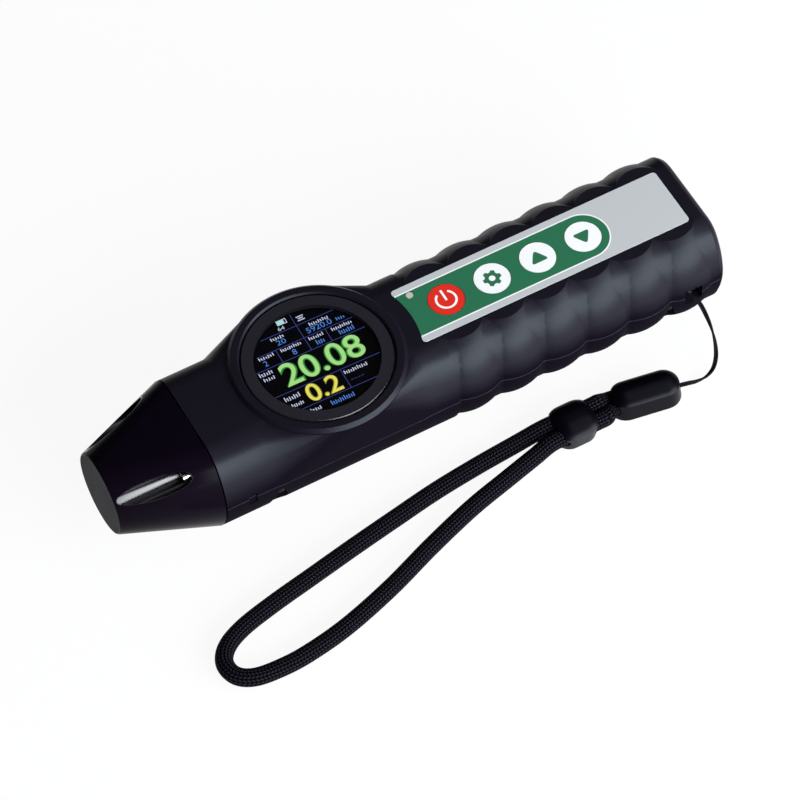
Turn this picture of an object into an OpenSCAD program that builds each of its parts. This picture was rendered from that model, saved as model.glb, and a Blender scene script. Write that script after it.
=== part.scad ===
// Torch-shaped ultrasonic thickness gauge: a conical probe nose, a round display in a raised drum,
// a keypad along the flat top of a scalloped grip, and a wrist strap. It lies on its flat foot at
// Z = 0, with the probe towards -X, the tail towards +X and the display facing +Z.

/* [Body] */
// Length from the probe face to the tail
body_l = 172; // [166:1:185]
// Radius of the neck around the main axis
neck_r = 20; // [19.6:0.1:21]
// Radius of the grip's core around the main axis
grip_r = 19.6; // [19.2:0.1:20]
// Height of the flat top above the main axis
flat_h = 15.4; // [15:0.1:16.5]
// Depth of the flat foot below the main axis
foot_h = 19; // [18.5:0.1:19.4]
// Rounding between the flat top and the round sides
shoulder_r = 8; // [6:0.5:10]
// Thickness of the housing's walls
wall = 2.4; // [1.8:0.1:3]
// Thickness of the roof under the keypad
roof_t = 2; // [1.5:0.1:2.6]
// Thickness of the front bulkhead that takes the nose screws
bulkhead_t = 5; // [4:0.5:7]
// Thickness of the tail wall
tail_wall = 3; // [2.4:0.1:4]
// Rounding of the tail's edges
tail_round = 3; // [2:0.5:4]

/* [Grip] */
// Number of lobes along each side
lobe_count = 6; // [4:1:6]
// Distance from one lobe to the next
lobe_pitch = 12.5; // [11.5:0.1:12.8]
// Distance from the last lobe's crown to the tail
lobe_from_tail = 10.7; // [9.5:0.1:12]
// Reach of a lobe's crown from the main axis
lobe_reach = 20.9; // [20.6:0.1:21.4]
// Height of a lobe's crown over its valleys
lobe_rise = 1.5; // [1:0.1:2]
// Distance of the lobes' own axis from the main axis
lobe_offset = 2.6; // [2:0.1:3.5]

/* [Display] */
// Distance from the probe face to the display's centre
display_from_tip = 62.5; // [60:0.5:66]
// Diameter of the display's cover lens
lens_d = 38.9; // [37:0.1:40]
// Thickness of the cover lens
lens_t = 1.2; // [0.8:0.1:1.3]
// Chamfer on the lens's top edge
lens_chamfer = 0.25; // [0.15:0.05:0.6]
// Gap between the lens and its pocket
lens_gap = 0.3; // [0.2:0.05:0.4]
// Width of the rim around the lens pocket
rim_w = 3.2; // [2.6:0.05:3.5]
// Height of the rim over the flat top
rim_h = 0.95; // [0.7:0.05:1.2]
// Depth of the lens below the rim
lens_recess = 0.35; // [0.2:0.05:0.5]
// Width of the ledge that the lens's gasket sits on
ledge_w = 1.45; // [1.2:0.05:1.6]
// Thickness of the lens's gasket
gasket_t = 0.3; // [0.2:0.05:0.5]
// Thickness of the display module with its holder
module_t = 4.1; // [3.6:0.1:4.5]
// Length of the drum's flare towards the nose
flare_front = 24; // [23.5:0.5:27]
// Length of the drum's flare towards the tail
flare_rear = 23; // [22.5:0.5:24]

/* [Nose] */
// Length of the nose cone
nose_l = 25.25; // [24:0.25:28]
// Radius of the nose cone at its tip
tip_r = 11.2; // [11:0.1:12]
// Chamfer around the tip
tip_chamfer = 0.3; // [0.2:0.05:0.4]
// Diameter of the probe's wear plate
face_d = 21.2; // [20:0.1:21.4]
// Thickness of the wear plate
face_t = 1.5; // [1:0.1:2]
// Gap between the probe and the nose cone
probe_gap = 0.1; // [0.05:0.05:0.2]
// Length of the probe's sleeve behind the wear plate
sleeve_l = 16.5; // [14:0.5:18]
// Thickness of the sleeve's wall
sleeve_wall = 1; // [0.8:0.1:1.4]
// Thickness of the sounding disc
crystal_t = 0.8; // [0.5:0.1:1]
// Radius of the flutes on the cone
flute_r = 2.8; // [2.4:0.05:2.9]
// Distance from the tip to where a flute starts
flute_from_tip = 0.5; // [0.5:0.1:2]
// Length of a flute
flute_l = 19; // [18:0.1:20]
// Angle of the upper flutes from the top
flute_spread = 50; // [45:1:60]
// Thickness of the seal behind the nose cone
seal_t = 0.4; // [0.3:0.05:0.6]
// Inset of the seal from the flat top
seal_inset = 0.8; // [0.5:0.1:1.2]
// Width of the seal's ring
seal_w = 5; // [3:0.5:6]

/* [Keypad] */
// Width of the keypad's film
film_w = 18; // [17.6:0.1:18.4]
// Distance from the display's centre to the film's rear edge
film_rear = 104; // [101:0.5:105]
// Radius of the film's front edge around the display's centre
film_front_r = 27; // [26:0.1:28]
// Rounding of the film's corners
film_corner = 1; // [0.6:0.1:1.5]
// Thickness of the film
film_t = 0.5; // [0.4:0.05:0.6]
// Height of the film over the flat top
film_proud = 0.1; // [0.05:0.05:0.2]
// Height left under a pressed key
pressed_h = 0.35; // [0.3:0.05:0.5]
// Thickness of the circuit under the spacer
circuit_t = 0.3; // [0.2:0.05:0.4]
// Diameter of a key
key_d = 9.5; // [9:0.1:10]
// Distance from one key to the next
key_pitch = 13.4; // [13:0.1:13.8]
// Distance from the display's centre to the first key
first_key = 37.2; // [36:0.1:38]
// Gap around a key
key_gap = 0.15; // [0.1:0.05:0.2]
// Travel of a key
key_travel = 0.35; // [0.2:0.05:0.4]
// Diameter of a snap dome
dome_d = 7; // [6:0.5:8]
// Diameter of the status light
light_d = 1.9; // [1.5:0.1:2.2]
// Distance from the display's centre to the status light
light_x = 29.7; // [29:0.1:31]
// Distance of the status light from the film's long edge
light_inset = 3.3; // [2.8:0.1:3.8]

/* [Inside] */
// Width of the main board
board_w = 24; // [22:0.5:25]
// Thickness of the main board
board_t = 1.6; // [1:0.1:1.8]
// Distance from the display's centre to the board's front edge
board_front = 23; // [22:0.5:24]
// Gap between the board's rear edge and the tail wall
board_tail_gap = 1; // [0.5:0.1:1.5]
// Diameter of the battery
battery_d = 18.4; // [17:0.1:18.6]
// Length of the battery
battery_l = 65; // [60:1:66]
// Distance from the display's centre to the battery's front end
battery_front = 23.5; // [22:0.5:25]
// Height of the battery over the housing's inner wall
rib_h = 2.8; // [2:0.1:3.2]
// Thickness of the ribs that carry the battery
rib_t = 2; // [1.6:0.1:3]
// Length of the pad between the battery and the board
pad_l = 30; // [20:1:40]
// Width of the charging socket
socket_w = 8.9; // [8.9:0.1:9.2]
// Height of the charging socket
socket_h = 3.2; // [3.2:0.1:3.4]
// Diameter of the probe's lead
lead_d = 2.4; // [1.8:0.1:3]

/* [Screws] */
// Diameter of the housing screws
housing_screw_d = 2.4; // [2:0.1:2.6]
// Diameter of the housing screws' heads
housing_head_d = 4.4; // [4.2:0.1:4.6]
// Distance from the joint to the front housing screws
front_screw_x = 15.75; // [14:0.25:17]
// Distance of the front housing screws from the middle line
front_screw_y = 17.5; // [17.3:0.1:17.6]
// Distance from the tail to the rear housing screws
rear_screw_x = 16.8; // [16.4:0.1:17.4]
// Distance of the rear housing screws from the middle line
rear_screw_y = 17.1; // [17:0.1:17.2]
// Diameter of the nose screws
nose_screw_d = 2; // [1.6:0.1:2.2]
// Diameter of the nose screws' heads
nose_head_d = 2.8; // [2.6:0.1:3.4]
// Diameter of the board screws
board_screw_d = 1.6; // [1.4:0.1:2]
// Gap between a fixed piece and its seat
fit_gap = 0.05; // [0.02:0.01:0.1]

/* [Strap] */
// Width of the strap slot along the body
slot_l = 5; // [4.6:0.1:5.4]
// Height of the strap slot
slot_h = 5; // [4.6:0.1:5.4]
// Depth of the strap slot from the lobes' crowns
slot_depth = 6.3; // [6:0.1:7]
// Diameter of the bar in the strap slot
bar_d = 2; // [1.6:0.1:2.2]
// Diameter of the braided cord
cord_d = 4.7; // [4.5:0.1:4.8]
// Diameter of the doubled string
string_d = 1.2; // [1:0.1:1.2]
// Length of the bead
bead_l = 18.7; // [18:0.1:19.5]
// Width of the bead at its crease
bead_w = 8.4; // [8.4:0.1:9]
// Height of the bead
bead_h = 6.6; // [6.4:0.1:7]
// Length of the slider
slider_l = 13.2; // [12.8:0.1:13.6]
// Width of the slider at its crease
slider_w = 11.4; // [11.4:0.1:12]
// Height of the slider
slider_h = 7.2; // [7.2:0.1:7.6]
// Gap between the slider and the cord
slider_gap = 0.25; // [0.2:0.05:0.3]

/* [Hidden] */

// Smoothness of large and small round forms, and of blended forms
fine = 96;
small = 48;
blend = 64;
soft = 32;
// Steps in the rounding of the tail's edges and in the crowns of the strap's pieces
edge_steps = 5;
// Length that a cut runs past the solid that it cuts
over = 1;
// Half the width of a box that holds the whole body
far = 60;
// Amount by which the shoulders' rounds cross the round sides
crease = 0.03;

// Stations along the body
tip_x = -body_l / 2;
tail_x = body_l / 2;
joint_x = tip_x + nose_l;
front_x = joint_x + seal_t;
drum_x = tip_x + display_from_tip;
grip_x = tail_x - lobe_from_tail - (lobe_count - 0.5) * lobe_pitch;

// Heights
axis_z = foot_h;
flat_z = axis_z + flat_h;
rim_z = flat_z + rim_h;
lens_top_z = rim_z - lens_recess;
lens_seat_z = lens_top_z - lens_t;
ledge_z = lens_seat_z - gasket_t;
board_top_z = ledge_z - module_t;
board_low_z = board_top_z - board_t;
film_top_z = flat_z + film_proud;
film_low_z = film_top_z - film_t;
spacer_t = key_travel + pressed_h;
spacer_low_z = film_low_z - spacer_t;
recess_z = spacer_low_z - circuit_t;
roof_z = recess_z - roof_t;

// Display pocket
lens_r = lens_d / 2;
pocket_r = lens_r + lens_gap;
window_r = pocket_r - ledge_w;
module_r = window_r - lens_gap;
rim_r = pocket_r + rim_w;
window_depth = 8.5;
gasket_lap = 0.8;
module_foot_t = 1;
module_foot_r = module_r - 4;
pocket_chamfer = 0.45;
flare_depth = 1.7;
flare_inset = 0.15;
flare_slab = 0.2;

// Grip lobes
lobe_r = lobe_reach - lobe_offset;
lobe_crown_r = (pow(lobe_pitch / 2, 2) + pow(lobe_rise, 2)) / (2 * lobe_rise);

// Inner space
cavity_r = grip_r - wall;
cavity_front_x = front_x + bulkhead_t;
cavity_rear_x = tail_x - tail_wall;

// Nose
bore_r = face_d / 2 + probe_gap;
lead_hole_r = 7;
flute_run_out = 3;
sleeve_end = 2;
lead_depth = 6;
lead_bend = 6;
lead_from_board = 4;
cone_slope = (neck_r - tip_r) / nose_l;
flute_start_r = tip_r + cone_slope * flute_from_tip + flute_r;
flute_end_r = tip_r + cone_slope * (flute_from_tip + flute_l) - flute_r;
flute_tilt = atan((flute_end_r - flute_start_r) / flute_l);
flute_angles = [90 - flute_spread, 90 + flute_spread, 270];
sleeve_x = tip_x + face_t;
shelf_x = sleeve_x + sleeve_l;
nose_head_t = 1.8;
nose_screw_bite = 4;
nose_screw_l = nose_l - flute_from_tip - flute_l + seal_t + nose_screw_bite;
cross_w = 0.5;
cross_l = 1.9;
cross_depth = 0.7;

// Keypad
key_x = [for (i = [0:3]) drum_x + first_key + i * key_pitch];
key_hole_d = key_d + 2 * key_gap;
well_margin = 0.2;
well_d = key_hole_d + 2 * well_margin;
dome_gap = 0.05;
dome_h = spacer_t - dome_gap;
film_gap = 0.15;
light_gap = 0.1;
light_y = film_w / 2 - light_inset;
ribbon_w = 7;
ribbon_from_rear = 7;
ribbon_x = drum_x + film_rear - ribbon_from_rear;
ribbon_gap = 0.35;

// Board and battery
board_x0 = drum_x - board_front;
board_x1 = cavity_rear_x - board_tail_gap;
post_r = 2.2;
post_y = 9;
post_from_front = 2.5;
post_from_rear = 16;
post_x = [board_x0 + post_from_front, board_x1 - post_from_rear];
board_pilot = 3;
board_head_d = 2.8;
board_head_t = 1.2;
battery_x0 = drum_x + battery_front;
battery_z = axis_z - cavity_r + rib_h + battery_d / 2;
rib_inset = 9;
pad_w = 12;
pad_wrap = 1.5;
socket_l = 7.4;
socket_recess = 1.4;
socket_shell = 0.3;
socket_back = 1;
tongue_w = 6;
tongue_t = 0.7;
tongue_l = 5.5;
socket_z = board_low_z - socket_h / 2;
socket_gap = 0.25;

// Housing screws as [x, y] pairs
screw_places = [
  for (s = [-1, 1]) [joint_x + front_screw_x, s * front_screw_y],
  for (s = [-1, 1]) [tail_x - rear_screw_x, s * rear_screw_y]
];
screw_seat = 2;
screw_shoulder_z = axis_z - screw_seat;
screw_head_t = 1.6;
screw_reach = 4.5;
screw_wall = 1.4;
screw_gap = 0.3;
screw_boss_r = housing_screw_d / 2 + screw_wall;
screw_well_r = housing_head_d / 2 + screw_gap;

// Strap slot
slot_from_tail = 10.75;
slot_rise = 0.3;
slot_x = tail_x - slot_from_tail;
slot_z = axis_z + slot_rise;
slot_wall = 1.5;
slot_y = slot_depth - lobe_reach;
bar_y = slot_y - slot_depth / 2;
bar_seat = 2;
bar_low_z = slot_z - slot_h / 2 - bar_seat;
bar_high_z = slot_z + slot_h / 2 + bar_seat;

// Notch in the seam for prising the housings apart
pry_w = 2.4;
pry_low = 2.5;
pry_high = 1.5;
pry_from_joint = 7.75;
pry_x = joint_x + pry_from_joint;
pry_depth = 0.5;

// Strap pieces: the crease is the height where the wall meets the crown, and the flare is the amount
// by which the foot is wider than the crease
bead_pos = [54.7, -31.4];
bead_turn = -9.5;
bead_corner = 4.1;
bead_crease = 5;
bead_flare = 0.65;
mouth_depth = 3.2;
mouth_pitch = 3.8;
mouth_d = 3.5;
mouth_z = 2.6;
string_hole = 3;
string_y = -0.6;
slider_pos = [33.7, -31];
slider_corner = 4.8;
slider_crease = 5.2;
slider_flare = -0.9;
cord_pitch = 4.8;
cord_z = 3.6;
cord_fit = 0.1;
crown_start = 25;

// Route of the braided cord, out of the bead, round the loop and back into the bead
cord_route = [
  [48.95, -28.5, 2.6], [45.35, -27.9, 2.6], [42.4, -28.45, 3.5], [40, -28.6, 3.6], [33, -28.6, 3.6],
  [26, -28.5, 3.6], [18.5, -28.5, 2.5], [6, -29.5, 2.45], [-7, -31, 2.45], [-20, -33.2, 2.45],
  [-33, -35.5, 2.45], [-46, -38, 2.45], [-59, -40.5, 2.45], [-69, -43, 2.45], [-75, -46, 2.45],
  [-77.8, -50, 2.45], [-77, -54.5, 2.45], [-73, -57.2, 2.45], [-66, -58, 2.45], [-58, -57.6, 2.45],
  [-46, -55.4, 2.45], [-31, -50.8, 2.45], [-16, -45, 2.45], [-1.5, -40, 2.45], [11, -36.7, 2.45],
  [20, -34.5, 2.7], [26, -33.4, 3.6], [33, -33.4, 3.6], [40, -33.4, 3.6], [42.2, -33.25, 3.5],
  [44.7, -31.65, 2.6], [48.3, -32.25, 2.6]
];
// Route of the doubled string, from the bar in the slot to the bead
string_route = [
  [73.55, -15.7, 19.4], [73.55, -17.8, 19.4], [74.2, -19.6, 19.2], [75.2, -21.4, 18.7],
  [75.9, -23, 17.6], [76.4, -25.5, 15], [76.8, -27.8, 11.5], [76.8, -29.8, 7.6], [76.2, -31.4, 4.2],
  [74.6, -32.8, 1.9], [72, -33.7, 1.1], [69, -34, 1.5], [66.2, -33.85, 2.3], [63.8, -33.55, 2.6],
  [61.3, -33.15, 2.6]
];
cord_sides = 10;
string_sides = 8;

// Points of a tube swept along a route
function unit(v) = v / norm(v);
function heading(p, i) = unit(p[min(i + 1, len(p) - 1)] - p[max(i - 1, 0)]);
function level(p, i) = unit(cross(heading(p, i), [0, 0, 1]));
function tube_point(p, i, r, a) =
  p[i] + r * (cos(a) * level(p, i) + sin(a) * cross(level(p, i), heading(p, i)));
function tube_r(p, i, r, end_r) = i > 1 && i < len(p) - 2 ? r : end_r;
function tube_points(p, r, end_r, n) = [
  for (i = [0:len(p) - 1]) for (k = [0:n - 1]) tube_point(p, i, tube_r(p, i, r, end_r), 360 * k / n)
];
function tube_sides(m, n) = [
  for (i = [0:m - 2]) for (k = [0:n - 1]) each [
    [i * n + k, i * n + (k + 1) % n, (i + 1) * n + k],
    [i * n + (k + 1) % n, (i + 1) * n + (k + 1) % n, (i + 1) * n + k]
  ]
];
function tube_ends(m, n) = [
  [for (k = [n - 1:-1:0]) k],
  [for (k = [0:n - 1]) (m - 1) * n + k]
];

// Tube along a route, squeezed to a smaller diameter at its ends
module tube(route, d, end_d, n) {
  polyhedron(
    tube_points(route, d / 2, end_d / 2, n),
    concat(tube_sides(len(route), n), tube_ends(len(route), n))
  );
}

// Lays a Y-Z outline along the body from x0 to x1, centred on the main axis
module along_body(x0, x1) {
  translate([x0, 0, axis_z]) rotate([90, 0, 90]) linear_extrude(x1 - x0) children();
}

// Round bar along the body
module bar_x(x0, x1, r, z = axis_z, smooth = fine) {
  translate([x0, 0, z]) rotate([0, 90, 0]) cylinder(r = r, h = x1 - x0, $fn = smooth);
}

// Upright round bar
module bar_z(x, y, z0, z1, r, smooth = small) {
  translate([x, y, z0]) cylinder(r = r, h = z1 - z0, $fn = smooth);
}

// Body outline: a circle with a flat top, rounded shoulders and a flat foot, drawn in by an inset
module body_outline(r, inset = 0) {
  side_r = r - inset;
  top = flat_h - inset;
  bend_r = shoulder_r - inset;
  cz = top - bend_r;
  cy = sqrt(pow(side_r - bend_r + crease, 2) - pow(cz, 2));
  meet_z = cz * side_r / (side_r - bend_r);
  intersection() {
    circle(side_r, $fn = fine);
    union() {
      translate([-far, inset - foot_h]) square([2 * far, foot_h - inset + meet_z]);
      translate([-cy, 0]) square([2 * cy, top]);
      for (s = [-1, 1]) translate([s * cy, cz]) circle(bend_r, $fn = blend);
    }
  }
}

// One side's row of crowned lobes
module lobe_row(side) {
  translate([0, side * lobe_offset, axis_z]) rotate([0, 90, 0]) rotate_extrude($fn = fine)
    for (i = [0:lobe_count - 1]) intersection() {
      translate([lobe_r - lobe_crown_r, grip_x + (i + 0.5) * lobe_pitch])
        circle(lobe_crown_r, $fn = blend);
      translate([0, grip_x + i * lobe_pitch]) square([lobe_r + over, lobe_pitch]);
    }
}

// Flared drum that carries the display, and its chamfered rim
module drum() {
  hull() {
    translate([drum_x, 0, flat_z - flare_inset - flare_depth])
      cylinder(r = rim_r - flare_inset, h = flare_depth, $fn = blend);
    for (x = [drum_x - flare_front, drum_x + flare_rear])
      along_body(x, x + flare_slab) body_outline(neck_r, flare_inset);
  }
  translate([drum_x, 0, 0]) rotate_extrude($fn = fine) polygon([
    [0, flat_z - flare_depth], [rim_r, flat_z - flare_depth], [rim_r, flat_z],
    [rim_r - rim_h, rim_z], [0, rim_z]
  ]);
}

// Station and inset of each step in the rounding of the tail's edges
function edge_x(i) = tail_x - tail_round * (1 - sin(90 * i / edge_steps));
function edge_inset(i) = tail_round * (1 - cos(90 * i / edge_steps));

// Tail end with its edges rounded all round
module tail_cap() {
  hull() for (i = [1:edge_steps])
    along_body(edge_x(i) - flare_slab, edge_x(i)) body_outline(grip_r, edge_inset(i));
}

// Outside form of the two housings together
module housing_form() {
  along_body(front_x, grip_x) body_outline(neck_r);
  along_body(grip_x - over, edge_x(1)) body_outline(grip_r);
  tail_cap();
  intersection() {
    union() for (s = [-1, 1]) lobe_row(s);
    translate([grip_x - over, -far, 0]) cube([body_l, 2 * far, flat_z]);
  }
  drum();
}

// Bosses for the housing screws
module screw_bosses(r, z0, z1) {
  for (p = screw_places) bar_z(p[0], p[1], z0, z1, r);
}

// Block around the strap slot
module slot_block() {
  translate([slot_x - slot_l / 2 - slot_wall, -far, slot_z - slot_h / 2 - slot_wall])
    cube([slot_l + 2 * slot_wall, far + slot_y + slot_wall, slot_h + 2 * slot_wall]);
}

// Strap slot itself, with the seats of its bar
module slot_cut() {
  translate([slot_x - slot_l / 2, -far, slot_z - slot_h / 2]) cube([slot_l, far + slot_y, slot_h]);
  bar_z(slot_x, bar_y, bar_low_z, bar_high_z, bar_d / 2 + fit_gap);
}

// Notch across the seam near the joint
module pry_notch() {
  translate([pry_x - pry_w / 2, -far, axis_z - pry_low])
    cube([pry_w, far - neck_r + pry_depth, pry_low + pry_high]);
}

// Ribs in the lower housing that cradle the battery
module battery_ribs() {
  for (x = [battery_x0 + rib_inset, battery_x0 + battery_l - rib_inset]) difference() {
    translate([x - rib_t / 2, -far, 0]) cube([rib_t, 2 * far, battery_z]);
    bar_x(x - rib_t, x + rib_t, battery_d / 2 + fit_gap, battery_z);
  }
}

// Main inner space, with a flat ceiling under the keypad
module inner_space() {
  intersection() {
    bar_x(cavity_front_x, cavity_rear_x, cavity_r);
    translate([tip_x, -far, 0]) cube([body_l, 2 * far, roof_z]);
  }
}

// Places its children on each flute's own axis, a distance along it
module along_flutes(start) {
  for (a = flute_angles) translate([0, 0, axis_z]) rotate([a, 0, 0])
    translate([tip_x + flute_from_tip, flute_start_r, 0]) rotate([0, 0, flute_tilt])
      translate([start, 0, 0]) rotate([0, 90, 0]) children();
}

// Holes along the flutes for the nose screws
module nose_screw_holes(r, start, length) {
  along_flutes(start) cylinder(r = r, h = length, $fn = small);
}

// Cross-shaped recess in a screw's head
module cross_recess() {
  cube([cross_w, cross_l, 2 * cross_depth], center = true);
  cube([cross_l, cross_w, 2 * cross_depth], center = true);
}

// Flat outline of the keypad's film, widened by a margin: a long strip with rounded corners, whose
// front edge is hollowed by a circle around the display
module film_outline(margin = 0) {
  half = film_w / 2 + margin;
  r = film_corner + margin;
  hollow_r = film_front_r - margin;
  reach = hollow_r + r - crease;
  cy = half - r;
  cx = sqrt(pow(reach, 2) - pow(cy, 2));
  meet = [cx, cy] * hollow_r / reach;
  x1 = film_rear + margin;
  difference() {
    union() {
      translate([0, -meet[1]]) square([x1 - r, 2 * meet[1]]);
      translate([cx, -half]) square([x1 - r - cx, 2 * half]);
      translate([cx, -cy]) square([x1 - cx, 2 * cy]);
      for (s = [-1, 1]) translate([x1 - r, s * cy]) circle(r, $fn = small);
      polygon([[meet[0], -meet[1]], [cx, -cy], [cx, cy], meet]);
    }
    circle(hollow_r, $fn = fine);
  }
  for (s = [-1, 1]) translate([cx, s * cy]) circle(r, $fn = small);
}

// Layer of the keypad between two heights
module film_layer(z0, z1, margin = 0) {
  translate([drum_x, 0, z0]) linear_extrude(z1 - z0) film_outline(margin);
}

// Round hole through the keypad for the status light
module light_hole(z0, z1) {
  bar_z(drum_x + light_x, light_y, z0, z1, light_d / 2 + light_gap);
}

// Flat-sided round outline of the charging socket, standing across the body
module socket_outline(margin = 0) {
  w = socket_w + 2 * margin;
  h = socket_h + 2 * margin;
  square([w - h, h], center = true);
  for (s = [-1, 1]) translate([s * (w - h) / 2, 0]) circle(h / 2, $fn = small);
}

module socket_bar(x0, x1, margin = 0) {
  translate([x0, 0, socket_z]) rotate([90, 0, 90]) linear_extrude(x1 - x0) socket_outline(margin);
}

// Flat-bottomed block with rounded plan corners, a plain wall up to a crease, and a crown over it
module pebble(l, w, h, corner, wall_h, flare) {
  hull() for (sx = [-1, 1]) for (sy = [-1, 1])
    translate([sx * (l / 2 - corner), sy * (w / 2 - corner), 0]) rotate_extrude($fn = soft) polygon(concat(
      [[0, 0], [corner + flare, 0]],
      [for (i = [0:edge_steps]) crown_point(corner, wall_h, h, crown_start + (90 - crown_start) * i / edge_steps)]
    ));
}

// Point on a crown's arc, from the crease at the wall's top to the middle
function crown_point(corner, low, high, angle) = [
  corner * cos(angle) / cos(crown_start),
  low + (high - low) * (sin(angle) - sin(crown_start)) / (1 - sin(crown_start))
];

// Slot for the two runs of cord, lying along X
module cord_slot(length, d, pitch, z) {
  translate([-length / 2, 0, z]) rotate([90, 0, 90]) linear_extrude(length) {
    square([pitch, d], center = true);
    for (s = [-1, 1]) translate([s * pitch / 2, 0]) circle(d / 2, $fn = small);
  }
}

module upper_housing() color([0.1, 0.1, 0.12]) difference() {
  intersection() {
    housing_form();
    translate([-body_l, -far, axis_z]) cube([2 * body_l, 2 * far, far]);
  }
  difference() {
    inner_space();
    screw_bosses(screw_boss_r, axis_z - over, roof_z + over);
    slot_block();
    for (x = post_x) for (s = [-1, 1]) bar_z(x, s * post_y, board_top_z, roof_z + over, post_r);
  }
  bar_z(drum_x, 0, ledge_z - window_depth, ledge_z, window_r, fine);
  bar_z(drum_x, 0, ledge_z, rim_z + over, pocket_r, fine);
  translate([drum_x, 0, rim_z - pocket_chamfer])
    cylinder(r1 = pocket_r, r2 = pocket_r + pocket_chamfer + over, h = pocket_chamfer + over, $fn = fine);
  film_layer(recess_z, flat_z + over, film_gap);
  light_hole(roof_z - over, recess_z + over);
  translate([ribbon_x - ribbon_gap, -ribbon_w / 2 - ribbon_gap, roof_z - over])
    cube([circuit_t + 2 * ribbon_gap, ribbon_w + 2 * ribbon_gap, roof_t + 2 * over]);
  screw_bosses(housing_screw_d / 2 + fit_gap, axis_z - over, axis_z + screw_reach);
  for (x = post_x) for (s = [-1, 1])
    bar_z(x, s * post_y, board_top_z - over, board_top_z + board_pilot, board_screw_d / 2 + fit_gap);
  nose_screw_holes(nose_screw_d / 2 + fit_gap, flute_l, nose_screw_l);
  bar_x(front_x - over, cavity_front_x + over, lead_hole_r);
  socket_bar(cavity_rear_x - over, tail_x + over, socket_gap);
  slot_cut();
  pry_notch();
}

module lower_housing() color([0.1, 0.1, 0.12]) difference() {
  intersection() {
    housing_form();
    translate([-body_l, -far, axis_z - far]) cube([2 * body_l, 2 * far, far]);
  }
  difference() {
    inner_space();
    screw_bosses(screw_well_r + screw_wall, 0, axis_z + over);
    slot_block();
    battery_ribs();
  }
  screw_bosses(housing_screw_d / 2 + fit_gap, 0, axis_z + over);
  screw_bosses(screw_well_r, -over, screw_shoulder_z);
  nose_screw_holes(nose_screw_d / 2 + fit_gap, flute_l, nose_screw_l);
  bar_x(front_x - over, cavity_front_x + over, lead_hole_r);
  slot_cut();
  pry_notch();
}

module nose_cone() color([0.05, 0.05, 0.06]) difference() {
  hull() {
    along_body(joint_x - flare_slab, joint_x) body_outline(neck_r);
    bar_x(tip_x + tip_chamfer, tip_x + 2 * tip_chamfer, tip_r, axis_z, blend);
    bar_x(tip_x, tip_x + 2 * tip_chamfer, tip_r - tip_chamfer, axis_z, blend);
  }
  bar_x(tip_x - over, shelf_x, bore_r);
  bar_x(shelf_x - over, joint_x + over, lead_hole_r);
  nose_screw_holes(flute_r, -flute_from_tip - flute_run_out, flute_from_tip + flute_l + flute_run_out);
  nose_screw_holes(nose_screw_d / 2 + fit_gap, flute_l - over, nose_l);
}

module probe_face() color([0.28, 0.29, 0.3]) bar_x(tip_x, tip_x + face_t, face_d / 2);

module transducer_disc() color("wheat")
  bar_x(sleeve_x, sleeve_x + crystal_t, face_d / 2 - sleeve_wall - 2 * fit_gap);

module damping_block() color("dimgray") difference() {
  bar_x(sleeve_x + crystal_t, shelf_x - sleeve_end, face_d / 2 - sleeve_wall - fit_gap);
  bar_x(shelf_x - lead_depth, shelf_x, lead_d / 2 + fit_gap);
}

module transducer_sleeve() color("silver") difference() {
  bar_x(sleeve_x, shelf_x, face_d / 2);
  bar_x(sleeve_x - over, shelf_x - sleeve_end, face_d / 2 - sleeve_wall);
  bar_x(shelf_x - sleeve_end - over, shelf_x + over, lead_d / 2 + fit_gap);
}

// Lead from the damping block along the main axis, turning up to the board
module probe_lead() color([0.15, 0.15, 0.16]) {
  turn_x = board_x0 + lead_from_board;
  bar_x(shelf_x - lead_depth + fit_gap, turn_x, lead_d / 2, axis_z, small);
  translate([turn_x, 0, axis_z + lead_bend]) rotate([90, 0, 0]) rotate_extrude(angle = -90, $fn = small)
    translate([lead_bend, 0]) circle(lead_d / 2, $fn = small);
  bar_z(turn_x + lead_bend, 0, axis_z + lead_bend, board_low_z, lead_d / 2);
}

module nose_seal() color([0.03, 0.03, 0.03]) difference() {
  bar_x(joint_x, front_x, flat_h - seal_inset);
  bar_x(joint_x - over, front_x + over, flat_h - seal_inset - seal_w);
}

module nose_screws() color("silver") difference() {
  union() {
    nose_screw_holes(nose_head_d / 2, flute_l - nose_head_t, nose_head_t);
    nose_screw_holes(nose_screw_d / 2, flute_l - nose_head_t / 2, nose_screw_l);
  }
  along_flutes(flute_l - nose_head_t) cross_recess();
}

module display_lens() color([0.1, 0.1, 0.12, 0.5]) translate([drum_x, 0, lens_seat_z])
  rotate_extrude($fn = fine) polygon([
    [0, 0], [lens_r, 0], [lens_r, lens_t - lens_chamfer],
    [lens_r - lens_chamfer, lens_t], [0, lens_t]
  ]);

module lens_gasket() color([0.04, 0.04, 0.04]) difference() {
  bar_z(drum_x, 0, ledge_z, lens_seat_z, lens_r, fine);
  bar_z(drum_x, 0, ledge_z - over, lens_seat_z + over, module_r - gasket_lap, fine);
}

module display_module() color([0.05, 0.05, 0.07]) {
  bar_z(drum_x, 0, board_top_z + module_foot_t, ledge_z, module_r, fine);
  bar_z(drum_x, 0, board_top_z, board_top_z + module_foot_t, module_foot_r, fine);
}

module main_board() color("darkgreen") difference() {
  translate([board_x0, -board_w / 2, board_low_z]) cube([board_x1 - board_x0, board_w, board_t]);
  for (x = post_x) for (s = [-1, 1])
    bar_z(x, s * post_y, board_low_z - over, board_top_z + over, board_screw_d / 2 + fit_gap);
}

module board_screws() color("silver") for (x = post_x) for (s = [-1, 1]) {
  bar_z(x, s * post_y, board_low_z - board_head_t, board_low_z, board_head_d / 2);
  bar_z(x, s * post_y, board_low_z - board_head_t, board_top_z + board_pilot, board_screw_d / 2);
}

module battery() color("steelblue")
  bar_x(battery_x0, battery_x0 + battery_l, battery_d / 2, battery_z);

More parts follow.
